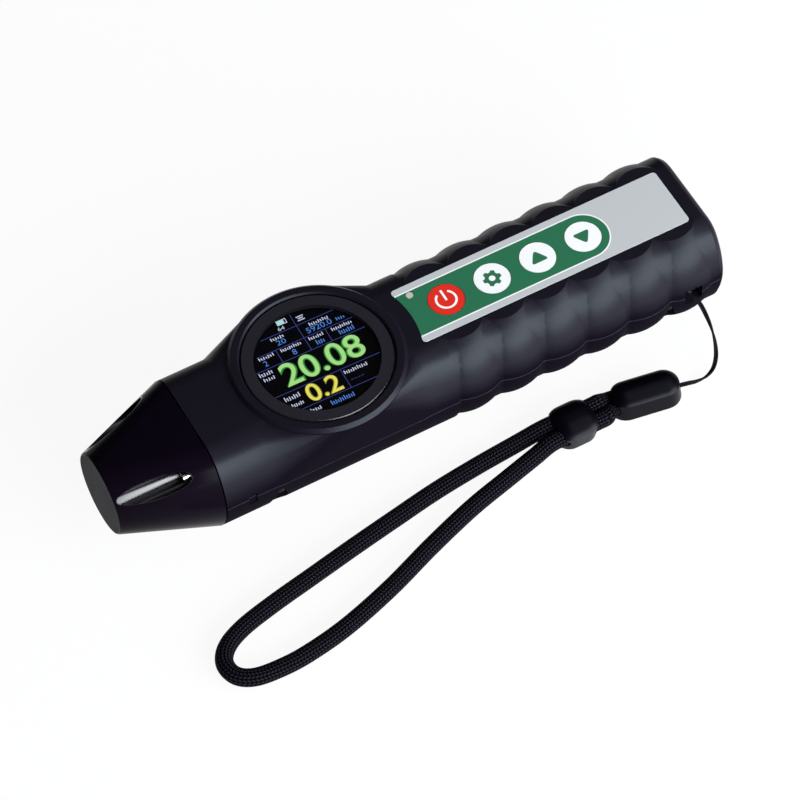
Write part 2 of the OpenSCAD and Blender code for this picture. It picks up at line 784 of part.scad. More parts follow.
module battery_pad() color([0.2, 0.2, 0.2]) difference() {
  pad_z = battery_z + battery_d / 2 - pad_wrap;
  translate([battery_x0 + (battery_l - pad_l) / 2, -pad_w / 2, pad_z])
    cube([pad_l, pad_w, board_low_z - pad_z]);
  bar_x(battery_x0, battery_x0 + battery_l, battery_d / 2 + fit_gap, battery_z);
}

module charging_socket() color("silver") {
  x1 = tail_x - socket_recess;
  x0 = x1 - socket_l;
  difference() {
    socket_bar(x0, x1);
    socket_bar(x0 + socket_back, x1 + over, -socket_shell);
  }
  translate([x0 + socket_back / 2, -tongue_w / 2, socket_z - tongue_t / 2])
    cube([tongue_l, tongue_w, tongue_t]);
}

module keypad_overlay() color([0.7, 0.72, 0.73]) difference() {
  film_layer(film_low_z, film_top_z);
  for (x = key_x) bar_z(x, 0, film_low_z - over, film_top_z + over, key_hole_d / 2, fine);
  light_hole(film_low_z - over, film_top_z + over);
}

module keypad_spacer() color([0.16, 0.42, 0.3]) difference() {
  film_layer(spacer_low_z, film_low_z);
  for (x = key_x) bar_z(x, 0, spacer_low_z - over, film_low_z + over, well_d / 2, fine);
  light_hole(spacer_low_z - over, film_low_z + over);
}

module keypad_circuit() color("goldenrod") difference() {
  union() {
    film_layer(recess_z, spacer_low_z);
    translate([ribbon_x, -ribbon_w / 2, board_top_z]) cube([circuit_t, ribbon_w, spacer_low_z - board_top_z]);
  }
  light_hole(recess_z - over, spacer_low_z + over);
}

module key(i) bar_z(key_x[i], 0, film_low_z, film_top_z, key_d / 2, fine);

// Shallow snap dome under a key
module dome(i) {
  ball_r = (pow(dome_d / 2, 2) + pow(dome_h, 2)) / (2 * dome_h);
  translate([key_x[i], 0, spacer_low_z]) rotate_extrude($fn = fine) intersection() {
    translate([0, dome_h - ball_r]) circle(ball_r, $fn = 4 * fine);
    square([dome_d / 2, dome_h]);
  }
}

module key_power() color([0.8, 0.1, 0.08]) key(0);
module key_menu() color("white") key(1);
module key_up() color("white") key(2);
module key_down() color("white") key(3);
module dome_power() color("silver") dome(0);
module dome_menu() color("silver") dome(1);
module dome_up() color("silver") dome(2);
module dome_down() color("silver") dome(3);

module status_light() color([0.85, 0.85, 0.8])
  bar_z(drum_x + light_x, light_y, board_top_z, film_top_z, light_d / 2);

module housing_screws() color([0.1, 0.1, 0.1]) difference() {
  union() {
    screw_bosses(housing_head_d / 2, screw_shoulder_z - screw_head_t, screw_shoulder_z);
    screw_bosses(housing_screw_d / 2, screw_shoulder_z - screw_head_t, axis_z + screw_reach - over);
  }
  for (p = screw_places) translate([p[0], p[1], screw_shoulder_z - screw_head_t]) cross_recess();
}

module strap_bar() color("silver")
  bar_z(slot_x, bar_y, bar_low_z, bar_high_z, bar_d / 2);

module strap_string() color([0.05, 0.05, 0.06]) tube(string_route, string_d, string_d, string_sides);

module strap_bead() color([0.08, 0.08, 0.09]) translate(bead_pos) rotate(bead_turn) difference() {
  pebble(bead_l, bead_w, bead_h, bead_corner, bead_crease, bead_flare);
  translate([(mouth_depth - over - bead_l) / 2, 0, 0])
    cord_slot(mouth_depth + over, mouth_d + 2 * cord_fit, mouth_pitch, mouth_z);
  translate([bead_l / 2 - string_hole, string_y, mouth_z]) rotate([0, 90, 0])
    cylinder(r = string_d / 2 + cord_fit, h = string_hole + over, $fn = small);
}

module strap_cord() color([0.06, 0.06, 0.08]) tube(cord_route, cord_d, mouth_d, cord_sides);

module strap_slider() color([0.08, 0.08, 0.09]) translate(slider_pos) difference() {
  pebble(slider_l, slider_w, slider_h, slider_corner, slider_crease, slider_flare);
  cord_slot(slider_l + 2 * over, cord_d + 2 * slider_gap, cord_pitch, cord_z);
}

upper_housing();
lower_housing();
nose_cone();
probe_face();
transducer_disc();
damping_block();
transducer_sleeve();
probe_lead();
nose_seal();
nose_screws();
display_lens();
lens_gasket();
display_module();
main_board();
board_screws();
battery();
battery_pad();
charging_socket();
keypad_overlay();
keypad_spacer();
keypad_circuit();
key_power();
key_menu();
key_up();
key_down();
dome_power();
dome_menu();
dome_up();
dome_down();
status_light();
housing_screws();
strap_bar();
strap_string();
strap_bead();
strap_cord();
strap_slider();
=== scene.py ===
"""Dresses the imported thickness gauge: finishes, keypad, lit display, wrist strap and studio."""

import logging
import math
from dataclasses import dataclass
from enum import Enum
from typing import Iterable, Sequence, Union

import bmesh
import bpy
from mathutils import Matrix, Vector


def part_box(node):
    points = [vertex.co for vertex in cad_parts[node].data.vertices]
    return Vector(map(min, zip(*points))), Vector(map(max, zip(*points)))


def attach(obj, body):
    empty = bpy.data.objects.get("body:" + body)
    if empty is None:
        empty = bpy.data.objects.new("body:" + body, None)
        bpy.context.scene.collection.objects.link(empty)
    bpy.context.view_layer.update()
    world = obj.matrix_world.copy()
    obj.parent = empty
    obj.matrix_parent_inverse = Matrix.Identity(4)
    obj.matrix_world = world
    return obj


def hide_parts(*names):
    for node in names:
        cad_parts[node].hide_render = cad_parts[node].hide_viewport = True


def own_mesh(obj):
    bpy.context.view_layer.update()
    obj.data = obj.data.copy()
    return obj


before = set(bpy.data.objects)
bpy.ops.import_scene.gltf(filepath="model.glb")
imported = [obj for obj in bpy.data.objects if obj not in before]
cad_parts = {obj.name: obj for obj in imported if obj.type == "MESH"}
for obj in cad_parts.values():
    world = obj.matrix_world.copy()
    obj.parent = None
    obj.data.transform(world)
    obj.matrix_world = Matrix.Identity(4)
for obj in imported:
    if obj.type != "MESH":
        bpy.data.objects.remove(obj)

LOG = logging.getLogger("gauge")
MM = 0.001
ROOT = "body"
FACING = "facing_up"
FIGURE_STEPS = 6
SPAN_STEPS = 40

# Sockets of a Mix node that is set to colours
MIX_FACTOR, MIX_FIRST, MIX_SECOND, MIX_RESULT = 0, 6, 7, 2

Colour = tuple[float, float, float]
Route = tuple[tuple[float, float, float], ...]
Value = Union["Wire", float, int]

WHITE: Colour = (1.0, 1.0, 1.0)
FIELD_GREEN: Colour = (0.0190, 0.145, 0.069)


class Ray(Enum):
    """Kinds of ray that see the studio as white."""

    CAMERA = "Is Camera Ray"
    GLOSSY = "Is Glossy Ray"
    TRANSMISSION = "Is Transmission Ray"


class Sign(Enum):
    """Signs printed on the keys."""

    POWER = "power"
    GEAR = "gear"
    UP = "up"
    DOWN = "down"


def rgba(colour: Colour) -> tuple[float, float, float, float]:
    """Adds a full alpha to a colour."""
    return (*colour, 1.0)


def shade(colour: Colour, factor: float) -> Colour:
    """Makes a colour lighter or darker."""
    return tuple(channel * factor for channel in colour)


def add_object(name: str, data: bpy.types.ID) -> bpy.types.Object:
    """Adds an object to the scene.

    Args:
        name: its name.
        data: its mesh, text, lamp or camera.

    Returns:
        The object.
    """
    made = bpy.data.objects.new(name, data)
    bpy.context.scene.collection.objects.link(made)
    return made


def shown_mesh(holder: bpy.types.Object) -> bpy.types.Mesh:
    """Makes a plain mesh of what an object shows."""
    graph = bpy.context.evaluated_depsgraph_get()
    return bpy.data.meshes.new_from_object(holder.evaluated_get(graph))


class Wire:
    """A node's output with arithmetic, so that shader maths reads as an expression."""

    def __init__(self, bench: "Bench", socket: bpy.types.NodeSocket) -> None:
        """Keeps the socket and the bench whose tree it belongs to."""
        self.bench = bench
        self.socket = socket

    def _math(self, operation: str, *values: Value) -> "Wire":
        """Adds a Math node on the given values."""
        inputs = dict(enumerate(values))
        return self.bench.node("ShaderNodeMath", {"operation": operation}, inputs)

    def __add__(self, other: Value) -> "Wire":
        """Sum."""
        return self._math("ADD", self, other)

    __radd__ = __add__

    def __sub__(self, other: Value) -> "Wire":
        """Difference."""
        return self._math("SUBTRACT", self, other)

    def __rsub__(self, other: Value) -> "Wire":
        """Difference from a number."""
        return self._math("SUBTRACT", other, self)

    def __mul__(self, other: Value) -> "Wire":
        """Product."""
        return self._math("MULTIPLY", self, other)

    __rmul__ = __mul__

    def __truediv__(self, other: Value) -> "Wire":
        """Quotient."""
        return self._math("DIVIDE", self, other)

    def __rtruediv__(self, other: Value) -> "Wire":
        """Quotient of a number."""
        return self._math("DIVIDE", other, self)

    def __neg__(self) -> "Wire":
        """Opposite."""
        return self * -1.0

    def __abs__(self) -> "Wire":
        """Size without its sign."""
        return self._math("ABSOLUTE", self)

    def most(self, other: Value) -> "Wire":
        """Greater of two values."""
        return self._math("MAXIMUM", self, other)

    def least(self, other: Value) -> "Wire":
        """Lesser of two values."""
        return self._math("MINIMUM", self, other)

    def held(self) -> "Wire":
        """Value held between 0 and 1."""
        return self.most(0.0).least(1.0)

    def about(self, middle: Value, spread: float) -> "Wire":
        """Spreads a noise from 0 to 1 evenly about a value."""
        return middle + (self - 0.5) * spread

    def reach(self, other: "Wire") -> "Wire":
        """Distance of the point whose two coordinates these are."""
        return (self * self + other * other).root()

    def root(self) -> "Wire":
        """Square root."""
        return self._math("SQRT", self)

    def floor(self) -> "Wire":
        """Whole part."""
        return self._math("FLOOR", self)

    def part(self) -> "Wire":
        """Part after the whole part."""
        return self._math("FRACT", self)

    def sine(self) -> "Wire":
        """Sine."""
        return self._math("SINE", self)

    def cosine(self) -> "Wire":
        """Cosine."""
        return self._math("COSINE", self)

    def bearing(self, other: "Wire") -> "Wire":
        """Angle of the point whose height is this value and whose width is the other."""
        return self._math("ARCTAN2", self, other)

    def inside(self, soft: float) -> "Wire":
        """Turns a signed distance into a mask: 1 within the shape, with an edge that wide.

        Args:
            soft: width of the edge, in the distance's own unit.

        Returns:
            The mask.
        """
        return (0.5 - self / soft).held()


class Bench:
    """One node tree under construction, for a material, a world or a Geometry Nodes group."""

    def __init__(self, tree: bpy.types.NodeTree) -> None:
        """Starts from an empty tree."""
        self.tree = tree
        self.tree.nodes.clear()

    def node(
        self,
        kind: str,
        settings: dict | None = None,
        inputs: dict | None = None,
        output: int | str = 0,
    ) -> Wire:
        """Adds one node.

        Args:
            kind: the node's type.
            settings: attributes that are set first; "stops" is a colour ramp's list.
            inputs: values or wires by socket name or number.
            output: which output is returned.

        Returns:
            The chosen output.
        """
        made = self.tree.nodes.new(kind)
        for key, value in (settings or {}).items():
            if key == "stops":
                self._set_stops(made.color_ramp, value)
            else:
                setattr(made, key, value)
        for key, value in (inputs or {}).items():
            socket = made.inputs[key]
            if isinstance(value, Wire):
                self.tree.links.new(value.socket, socket)
            else:
                socket.default_value = value
        if not made.outputs:
            return Wire(self, None)
        return Wire(self, made.outputs[output])

    @staticmethod
    def _set_stops(ramp: bpy.types.ColorRamp, stops: Sequence[tuple[float, Colour]]) -> None:
        """Sets a ramp's positions and colours.

        Args:
            ramp: the ramp.
            stops: each position with its colour.
        """
        while len(ramp.elements) < len(stops):
            ramp.elements.new(0.5)
        for element, (position, colour) in zip(ramp.elements, stops):
            element.position = position
            element.color = rgba(colour)

    def place(self) -> tuple[Wire, Wire, Wire]:
        """Reads the Object coordinates.

        Returns:
            Three wires, in millimetres.
        """
        coords = self.node("ShaderNodeTexCoord", output="Object")
        split = self.node("ShaderNodeSeparateXYZ", inputs={0: coords}).socket.node
        return tuple(Wire(self, out) / MM for out in split.outputs)

    def noise(self, size_mm: float, detail: float = 2.0) -> Wire:
        """Makes noise on Object coordinates.

        Args:
            size_mm: about how large its features are.
            detail: how much finer noise it holds.

        Returns:
            The noise, from 0 to 1.
        """
        coords = self.node("ShaderNodeTexCoord", output="Object")
        inputs = {"Vector": coords, "Scale": 1.0 / (size_mm * MM), "Detail": detail}
        return self.node("ShaderNodeTexNoise", inputs=inputs)

    def blend(self, factor: Value, first: Wire | Colour, second: Wire | Colour) -> Wire:
        """Mixes two colours.

        Args:
            factor: 0 for the first and 1 for the second.
            first: a colour.
            second: a colour.

        Returns:
            The mixed colour.
        """
        ends = [end if isinstance(end, Wire) else rgba(end) for end in (first, second)]
        settings = {"data_type": "RGBA", "clamp_factor": True}
        inputs = {MIX_FACTOR: factor, MIX_FIRST: ends[0], MIX_SECOND: ends[1]}
        return self.node("ShaderNodeMix", settings, inputs, MIX_RESULT)

    def between(self, factor: Value, first: Wire, second: Wire) -> Wire:
        """Mixes two shaders."""
        return self.node("ShaderNodeMixShader", inputs={0: factor, 1: first, 2: second})

    def read(self, name: str) -> Wire:
        """Reads one of the piece's attributes by name."""
        return self.node("ShaderNodeAttribute", {"attribute_name": name}, output="Fac")

    def bump(self, height: Wire, depth_mm: float) -> Wire:
        """Turns a height from 0 to 1 into a normal."""
        inputs = {"Strength": 1.0, "Distance": depth_mm * MM, "Height": height}
        return self.node("ShaderNodeBump", inputs=inputs)

    def surface(self, **sockets: Value | Wire | tuple) -> Wire:
        """Adds a Principled shader, with underscores in socket names read as spaces."""
        named = {key.replace("_", " "): value for key, value in sockets.items()}
        return self.node("ShaderNodeBsdfPrincipled", inputs=named)

    def finish(self, shader: Wire, kind: str = "ShaderNodeOutputMaterial") -> None:
        """Links the shader to the tree's output."""
        self.node(kind, inputs={"Surface": shader})


class Growth:
    """Geometry Nodes tree with named inputs, which is run once on a mesh."""

    def __init__(self, name: str, inputs: dict[str, str]) -> None:
        """Starts the tree.

        Args:
            name: the tree's name.
            inputs: the socket type of each named input.
        """
        self.tree = bpy.data.node_groups.new(name, "GeometryNodeTree")
        self.bench = Bench(self.tree)
        face = self.tree.interface
        face.new_socket("Geometry", in_out="INPUT", socket_type="NodeSocketGeometry")
        named = {**inputs, "Material": "NodeSocketMaterial"}
        self.keys = {
            key: face.new_socket(key, in_out="INPUT", socket_type=kind).identifier
            for key, kind in named.items()
        }
        face.new_socket("Geometry", in_out="OUTPUT", socket_type="NodeSocketGeometry")
        self.source = self.bench.node("NodeGroupInput").socket.node

    def wire(self, name: str = "Geometry") -> Wire:
        """Gives one of the tree's inputs."""
        return Wire(self.bench, self.source.outputs[name])

    def read(self, name: str, kind: str = "FLOAT") -> Wire:
        """Reads an attribute by name."""
        settings = {"data_type": kind}
        return self.bench.node("GeometryNodeInputNamedAttribute", settings, {"Name": name})

    def store(self, shape: Wire, name: str, value: Wire) -> Wire:
        """Keeps a value on the shape's points by name."""
        inputs = {"Geometry": shape, "Name": name, "Value": value}
        return self.bench.node("GeometryNodeStoreNamedAttribute", {"data_type": "FLOAT"}, inputs)

    def close(self, shape: Wire) -> None:
        """Ends the tree: instances are made real, then the material is set.

        Args:
            shape: what the tree has made.
        """
        real = self.bench.node("GeometryNodeRealizeInstances", inputs={"Geometry": shape})
        inputs = {"Geometry": real, "Material": self.wire("Material")}
        dressed = self.bench.node("GeometryNodeSetMaterial", inputs=inputs)
        self.bench.node("NodeGroupOutput", inputs={0: dressed})

    def grow(
        self, mesh: bpy.types.Mesh, **values: float | int | bpy.types.Material
    ) -> bpy.types.Mesh:
        """Runs the tree.

        Args:
            mesh: what it starts from.
            values: the named inputs.

        Returns:
            The mesh that it makes.
        """
        holder = add_object(self.tree.name, mesh)
        modifier = holder.modifiers.new(self.tree.name, "NODES")
        modifier.node_group = self.tree
        for key, value in values.items():
            modifier[self.keys[key]] = value
        grown = shown_mesh(holder)
        holder.modifiers.remove(modifier)
        bpy.data.objects.remove(holder)
        return grown


def sweep_tree() -> Growth:
    """Builds the tree that sweeps a ridged round section along paths.

    Returns:
        The tree, which leaves "along", "turn_x" and "turn_y" on the points.
    """
    sizes = dict.fromkeys(("Radius", "Ridges", "Rise"), "NodeSocketFloat")
    made = Growth("ridged_sweep", {**sizes, "Sides": "NodeSocketInt"})
    bench = made.bench
    curve = bench.node("GeometryNodeMeshToCurve", inputs={"Mesh": made.wire()})
    curve = made.store(curve, "along", bench.node("GeometryNodeSplineParameter", output="Length"))
    circle = bench.node(
        "GeometryNodeCurvePrimitiveCircle",
        {"mode": "RADIUS"},
        {"Resolution": made.wire("Sides"), "Radius": made.wire("Radius")},
    )
    turn = bench.node("GeometryNodeSplineParameter", output="Factor") * math.tau
    circle = made.store(circle, "turn_x", turn.cosine())
    circle = made.store(circle, "turn_y", turn.sine())
    girth = made.read("girth")
    inputs = {"Curve": curve, "Profile Curve": circle, "Scale": girth, "Fill Caps": True}
    tube = bench.node("GeometryNodeCurveToMesh", inputs=inputs)
    round_turn = made.read("turn_y").bearing(made.read("turn_x"))
    ridge = (round_turn * made.wire("Ridges") / math.tau).part()
    off_crown = ridge * 2.0 - 1.0
    drop = -(off_crown * off_crown) * made.wire("Rise")
    out = bench.node("GeometryNodeInputNormal")
    offset = bench.node("ShaderNodeVectorMath", {"operation": "SCALE"}, {0: out, "Scale": drop})
    tube = bench.node("GeometryNodeSetPosition", inputs={"Geometry": tube, "Offset": offset})
    made.close(bench.node("GeometryNodeSetShadeSmooth", inputs={"Geometry": tube}))
    return made


def plate_tree() -> Growth:
    """Builds the tree that lays a flat plate on every point, by its "size" and "turn".

    Returns:
        The tree.
    """
    made = Growth("flat_plates", {"Side": "NodeSocketFloat"})
    bench = made.bench
    side = made.wire("Side")
    grid = {"Size X": side, "Size Y": side, "Vertices X": 2, "Vertices Y": 2}
    plate = bench.node("GeometryNodeMeshGrid", inputs=grid)
    upright = {"Axis": (0.0, 0.0, 1.0), "Angle": made.read("turn")}
    inputs = {
        "Points": made.wire(),
        "Instance": plate,
        "Rotation": bench.node("FunctionNodeAxisAngleToRotation", inputs=upright),
        "Scale": made.read("size", "FLOAT_VECTOR"),
    }
    made.close(bench.node("GeometryNodeInstanceOnPoints", inputs=inputs))
    return made


def path_mesh(
    paths: Sequence[Sequence[Vector]], girths: Sequence[Sequence[float]]
) -> bpy.types.Mesh:
    """Makes a mesh of bare edges along paths, each point with its girth.

    Args:
        paths: points of each path.
        girths: scale of the section at each point.

    Returns:
        The mesh.
    """
    points = [tuple(point) for path in paths for point in path]
    edges = []
    first = 0
    for path in paths:
        edges += [(first + i, first + i + 1) for i in range(len(path) - 1)]
        first += len(path)
    mesh = bpy.data.meshes.new("path")
    mesh.from_pydata(points, edges, [])
    layer = mesh.attributes.new("girth", "FLOAT", "POINT")
    layer.data.foreach_set("value", [girth for row in girths for girth in row])
    return mesh


@dataclass(frozen=True)
class Finish:
    """Named material, whose shader each kind of finish makes."""

    name: str

    def shader(self, bench: Bench) -> Wire:
        """Makes the shader."""
        raise NotImplementedError(self.name)

    def build(self) -> bpy.types.Material:
        """Makes the material.

        Returns:
            The material, with its shader linked.
        """
        material = bpy.data.materials.new(self.name)
        material.use_nodes = True
        bench = Bench(material.node_tree)
        bench.finish(self.shader(bench))
        return material


@dataclass(frozen=True)
class Moulded(Finish):
    """Moulded plastic or rubber with a fine grain; with a seam, its flanks are matte and carry
    painted shade.
    """

    colour: Colour
    roughness: float
    grain_mm: float = 0.22
    grain_depth_mm: float = 0.004
    tint: float = 0.12
    specular: float = 0.5
    sheen: Colour = WHITE
    seam_z: float | None = None
    seam_mm: float = 0.22
    flank_from: float = 0.32
    flank_to: float = 0.08
    # Colour factor on flanks that face level or down: painted shade.
    flank_painted_shade: float = 0.62
    flank_roughness: float = 0.7
    flank_specular: float = 0.01
    # Width and colour of the pale line along the seam: a painted highlight.
    seam_highlight_mm: float = 0.10
    seam_highlight_colour: Colour = (0.040, 0.040, 0.048)
    cloud_mm: float = 9.0
    cloud_spread: float = 0.1
    grain_spread: float = 0.06

    def _off_seam(self, bench: Bench) -> Wire:
        """Gives the height above or below the seam."""
        return abs(bench.place()[2] - self.seam_z)

    def _normal(self, bench: Bench, grain: Wire) -> Wire:
        """Gives the grain's normal, with a narrow groove along the seam where there is one.

        Args:
            bench: the material's tree.
            grain: the grain's height.

        Returns:
            The normal.
        """
        if self.seam_z is None:
            return bench.bump(grain, self.grain_depth_mm)
        groove = (self._off_seam(bench) / self.seam_mm).least(1.0)
        share = self.grain_depth_mm / self.seam_mm
        return bench.bump(groove + grain * share, self.seam_mm)

    def _flank(self, bench: Bench) -> Wire:
        """Gives 0 on what faces up and 1 on what faces level or down: where the painted shade
        goes.
        """
        return ((self.flank_from - bench.read(FACING)) / (self.flank_from - self.flank_to)).held()

    def _matte(self, bench: Bench, normal: Wire) -> Wire:
        """Makes the flanks' shader: darker as painted shade, with a painted highlight line along
        the seam.
        """
        # Pale line along the seam: painted highlight.
        seam_highlight = (self._off_seam(bench) - self.seam_highlight_mm).inside(self.seam_highlight_mm)
        return bench.surface(
            Base_Color=bench.blend(seam_highlight, shade(self.colour, self.flank_painted_shade), self.seam_highlight_colour),
            Roughness=self.flank_roughness,
            Specular_IOR_Level=self.flank_specular,
            Normal=normal,
        )

    def shader(self, bench: Bench) -> Wire:
        """Makes the shader.

        Args:
            bench: the material's tree.

        Returns:
            The shader, satin where it faces up and, with a seam, matte with painted shade on its
            flanks.
        """
        cloud = bench.noise(self.cloud_mm)
        grain = bench.noise(self.grain_mm, detail=1.0)
        gloss = cloud.about(self.roughness, self.cloud_spread)
        darker, lighter = (shade(self.colour, 1.0 + tint) for tint in (-self.tint, self.tint))
        normal = self._normal(bench, grain)
        satin = bench.surface(
            Base_Color=bench.blend(cloud, darker, lighter),
            Roughness=grain.about(gloss, self.grain_spread),
            Specular_IOR_Level=self.specular,
            Specular_Tint=rgba(self.sheen),
            Normal=normal,
        )
        if self.seam_z is None:
            return satin
        # Flanks that face level or down take the darker matte shader: painted shade.
        return bench.between(self._flank(bench), satin, self._matte(bench, normal))


@dataclass(frozen=True)
class FlutedPlastic(Finish):
    """Dark plastic that is polished in the flutes along a cone; in millimetres."""

    colour: Colour
    roughness: float
    specular: float
    tip: tuple[float, float]
    start_r: float
    tilt_deg: float
    flute_r: float
    angles_deg: tuple[float, ...]
    soft: float = 0.08
    polish: float = 0.21
    polish_ior: float = 1.62
    cloud_mm: float = 9.0
    cloud_shade: float = 1.3
    cloud_spread: float = 0.08

    def _from_axis(self, place: tuple[Wire, Wire, Wire], angle: float) -> Wire:
        """Gives the distance from a flute's axis.

        Args:
            place: the Object coordinates.
            angle: the flute's turn about the cone, in radians.

        Returns:
            The distance.
        """
        tilt = math.radians(self.tilt_deg)
        out_y, out_z = math.cos(angle), math.sin(angle)
        start = (self.tip[0], self.start_r * out_y, self.tip[1] + self.start_r * out_z)
        x, y, z = (wire - value for wire, value in zip(place, start))
        climb = math.sin(tilt)
        run = x * math.cos(tilt) + y * (climb * out_y) + z * (climb * out_z)
        return (x * x + y * y + z * z - run * run).most(0.0).root()

    def shader(self, bench: Bench) -> Wire:
        """Makes the shader.

        Args:
            bench: the material's tree.

        Returns:
            The shader, with a coat in the flutes alone.
        """
        place = bench.place()
        near, *others = (self._from_axis(place, math.radians(angle)) for angle in self.angles_deg)
        for other in others:
            near = near.least(other)
        cloud = bench.noise(self.cloud_mm)
        return bench.surface(
            Base_Color=bench.blend(cloud, self.colour, shade(self.colour, self.cloud_shade)),
            Roughness=cloud.about(self.roughness, self.cloud_spread),
            Specular_IOR_Level=self.specular,
            Coat_Weight=(near - self.flute_r - self.soft).inside(self.soft),
            Coat_Roughness=self.polish,
            Coat_IOR=self.polish_ior,
        )


@dataclass(frozen=True)
class Metal(Finish):
    """Plain or plated metal with fine tool marks."""

    colour: Colour
    roughness: float
    mark_mm: float = 0.35
    mark_depth_mm: float = 0.002
    mark_shade: float = 0.88
    mark_spread: float = 0.12

    def shader(self, bench: Bench) -> Wire:
        """Makes the shader."""
        marks = bench.noise(self.mark_mm, detail=3.0)
        return bench.surface(
            Base_Color=bench.blend(marks, shade(self.colour, self.mark_shade), self.colour),
            Roughness=marks.about(self.roughness, self.mark_spread),
            Metallic=1.0,
            Normal=bench.bump(marks, self.mark_depth_mm),
        )


@dataclass(frozen=True)
class Lamp(Finish):
    """Colour that the screen shows as lit."""

    colour: Colour
    dot_mm: float = 0.25
    dot_shade: float = 0.82

    def shader(self, bench: Bench) -> Wire:
        """Makes the shader."""
        shimmer = bench.noise(self.dot_mm, detail=1.0)
        return bench.surface(
            Base_Color=rgba((0.0, 0.0, 0.0)),
            Roughness=0.5,
            Specular_IOR_Level=0.0,
            Emission_Color=bench.blend(shimmer, shade(self.colour, self.dot_shade), self.colour),
            Emission_Strength=1.0,
        )


@dataclass(frozen=True)
class CoverLens(Finish):
    """Clear lens with a dark ring printed behind it; in millimetres."""

    centre_x: float
    clear_r: float
    ring: Colour = (0.0125, 0.0113, 0.0168)
    ring_roughness: float = 0.24
    ring_soft: float = 0.08
    speckle_mm: float = 0.5
    speckle_shade: float = 1.15
    speckle_spread: float = 0.06
    glass_roughness: float = 0.04
    glass_ior: float = 1.3

    def shader(self, bench: Bench) -> Wire:
        """Makes the shader.

        Args:
            bench: the material's tree.

        Returns:
            The shader, whose inner face mirrors nothing.
        """
        x, y, _ = bench.place()
        speckle = bench.noise(self.speckle_mm)
        printed = bench.surface(
            Base_Color=bench.blend(speckle, self.ring, shade(self.ring, self.speckle_shade)),
            Roughness=speckle.about(self.ring_roughness, self.speckle_spread),
        )
        clear = bench.node("ShaderNodeBsdfTransparent")
        gloss = bench.node("ShaderNodeBsdfGlossy", inputs={"Roughness": self.glass_roughness})
        fresnel = bench.node("ShaderNodeFresnel", inputs={"IOR": self.glass_ior})
        behind = bench.node("ShaderNodeNewGeometry", output="Backfacing")
        glass = bench.between(fresnel * (1.0 - behind), clear, gloss)
        dark = (self.clear_r - (x - self.centre_x).reach(y)).inside(self.ring_soft)
        return bench.between(dark, glass, printed)


@dataclass(frozen=True)
class KeypadPrint(Finish):
    """Silver film with a green field that ends in a half round, and a white outline."""

    end_x: float
    half_w: float = 6.85
    outline: float = 0.38
    soft: float = 0.06
    silver: Colour = (0.50, 0.515, 0.53)
    white: Colour = (0.86, 0.87, 0.87)
    roughness: float = 0.42
    specular: float = 0.3
    weave_mm: float = 0.12
    weave_depth_mm: float = 0.002
    weave_shade: float = 0.95
    weave_spread: float = 0.08

    def shader(self, bench: Bench) -> Wire:
        """Makes the shader.

        Args:
            bench: the material's tree.

        Returns:
            The shader.
        """
        x, y, _ = bench.place()
        field = (x - self.end_x).most(0.0).reach(y) - self.half_w
        weave = bench.noise(self.weave_mm, detail=1.0)
        base = bench.blend(weave, shade(self.silver, self.weave_shade), self.silver)
        base = bench.blend((field - self.outline).inside(self.soft), base, self.white)
        return bench.surface(
            Base_Color=bench.blend(field.inside(self.soft), base, FIELD_GREEN),
            Roughness=weave.about(self.roughness, self.weave_spread),
            Specular_IOR_Level=self.specular,
            Normal=bench.bump(weave, self.weave_depth_mm),
        )


@dataclass(frozen=True)
class KeyPrint(Finish):
    """Round printed key with a sign in its middle."""

    centre_x: float
    disc: Colour
    ink: Colour
    sign: Sign
    soft: float = 0.06
    roughness: float = 0.40
    specular: float = 0.3
    speckle_mm: float = 0.3
    speckle_shade: float = 0.96
    speckle_spread: float = 0.08

    def _power(self, x: Wire, y: Wire) -> Wire:
        """Draws a broken ring with a bar in its gap.

        Args:
            x: place across the key, in millimetres.
            y: place along it.

        Returns:
            The sign's mask.
        """
        ring_r, stroke, gap_deg = 2.62, 0.30, 34.0
        bar_low, bar_high = -0.3, 3.2
        ring = abs(x.reach(y) - ring_r) - stroke
        gap = abs(x) - y * math.tan(math.radians(gap_deg))
        bar = (abs(x) - stroke).most(y - bar_high).most(bar_low - y)
        broken = ring.inside(self.soft) * (1.0 - gap.inside(self.soft))
        return broken.most(bar.inside(self.soft))

    def _gear(self, x: Wire, y: Wire) -> Wire:
        """Draws a gear with a round hole.

        Args:
            x: place across the key, in millimetres.
            y: place along it.

        Returns:
            The sign's mask.
        """
        teeth, root_r, tip_r, hole_r, slope, widen = 6, 1.92, 2.5, 0.86, 0.9, 0.1
        radius = x.reach(y)
        wave = (y.bearing(x) * teeth).cosine()
        tooth = (-wave - widen).inside(slope)
        solid = radius - (root_r + tooth * (tip_r - root_r))
        return solid.most(hole_r - radius).inside(self.soft)

    def _triangle(self, x: Wire, y: Wire) -> Wire:
        """Draws a triangle with rounded corners, pointing along y.

        Args:
            x: place across the key, in millimetres.
            y: place along it.

        Returns:
            The sign's mask.
        """
        apex, base, half, bend, blunt = 2.75, -1.56, 2.52, 0.75, 0.4
        length = math.hypot(apex - base, half)
        across = (x * x + bend * bend * blunt).root()
        side = (across * (apex - base) + (y - apex) * half) / length
        outer = (side + bend).most(0.0).reach((base - y + bend).most(0.0))
        return (outer - bend).inside(self.soft)

    def shader(self, bench: Bench) -> Wire:
        """Makes the shader.

        Args:
            bench: the material's tree.

        Returns:
            The shader.
        """
        x, y, _ = bench.place()
        draw = {Sign.POWER: self._power, Sign.GEAR: self._gear}.get(self.sign, self._triangle)
        mask = draw(x - self.centre_x, -y if self.sign is Sign.DOWN else y)
        speckle = bench.noise(self.speckle_mm)
        plain = bench.blend(speckle, shade(self.disc, self.speckle_shade), self.disc)
        return bench.surface(
            Base_Color=bench.blend(mask, plain, self.ink),
            Roughness=speckle.about(self.roughness, self.speckle_spread),
            Specular_IOR_Level=self.specular,
        )


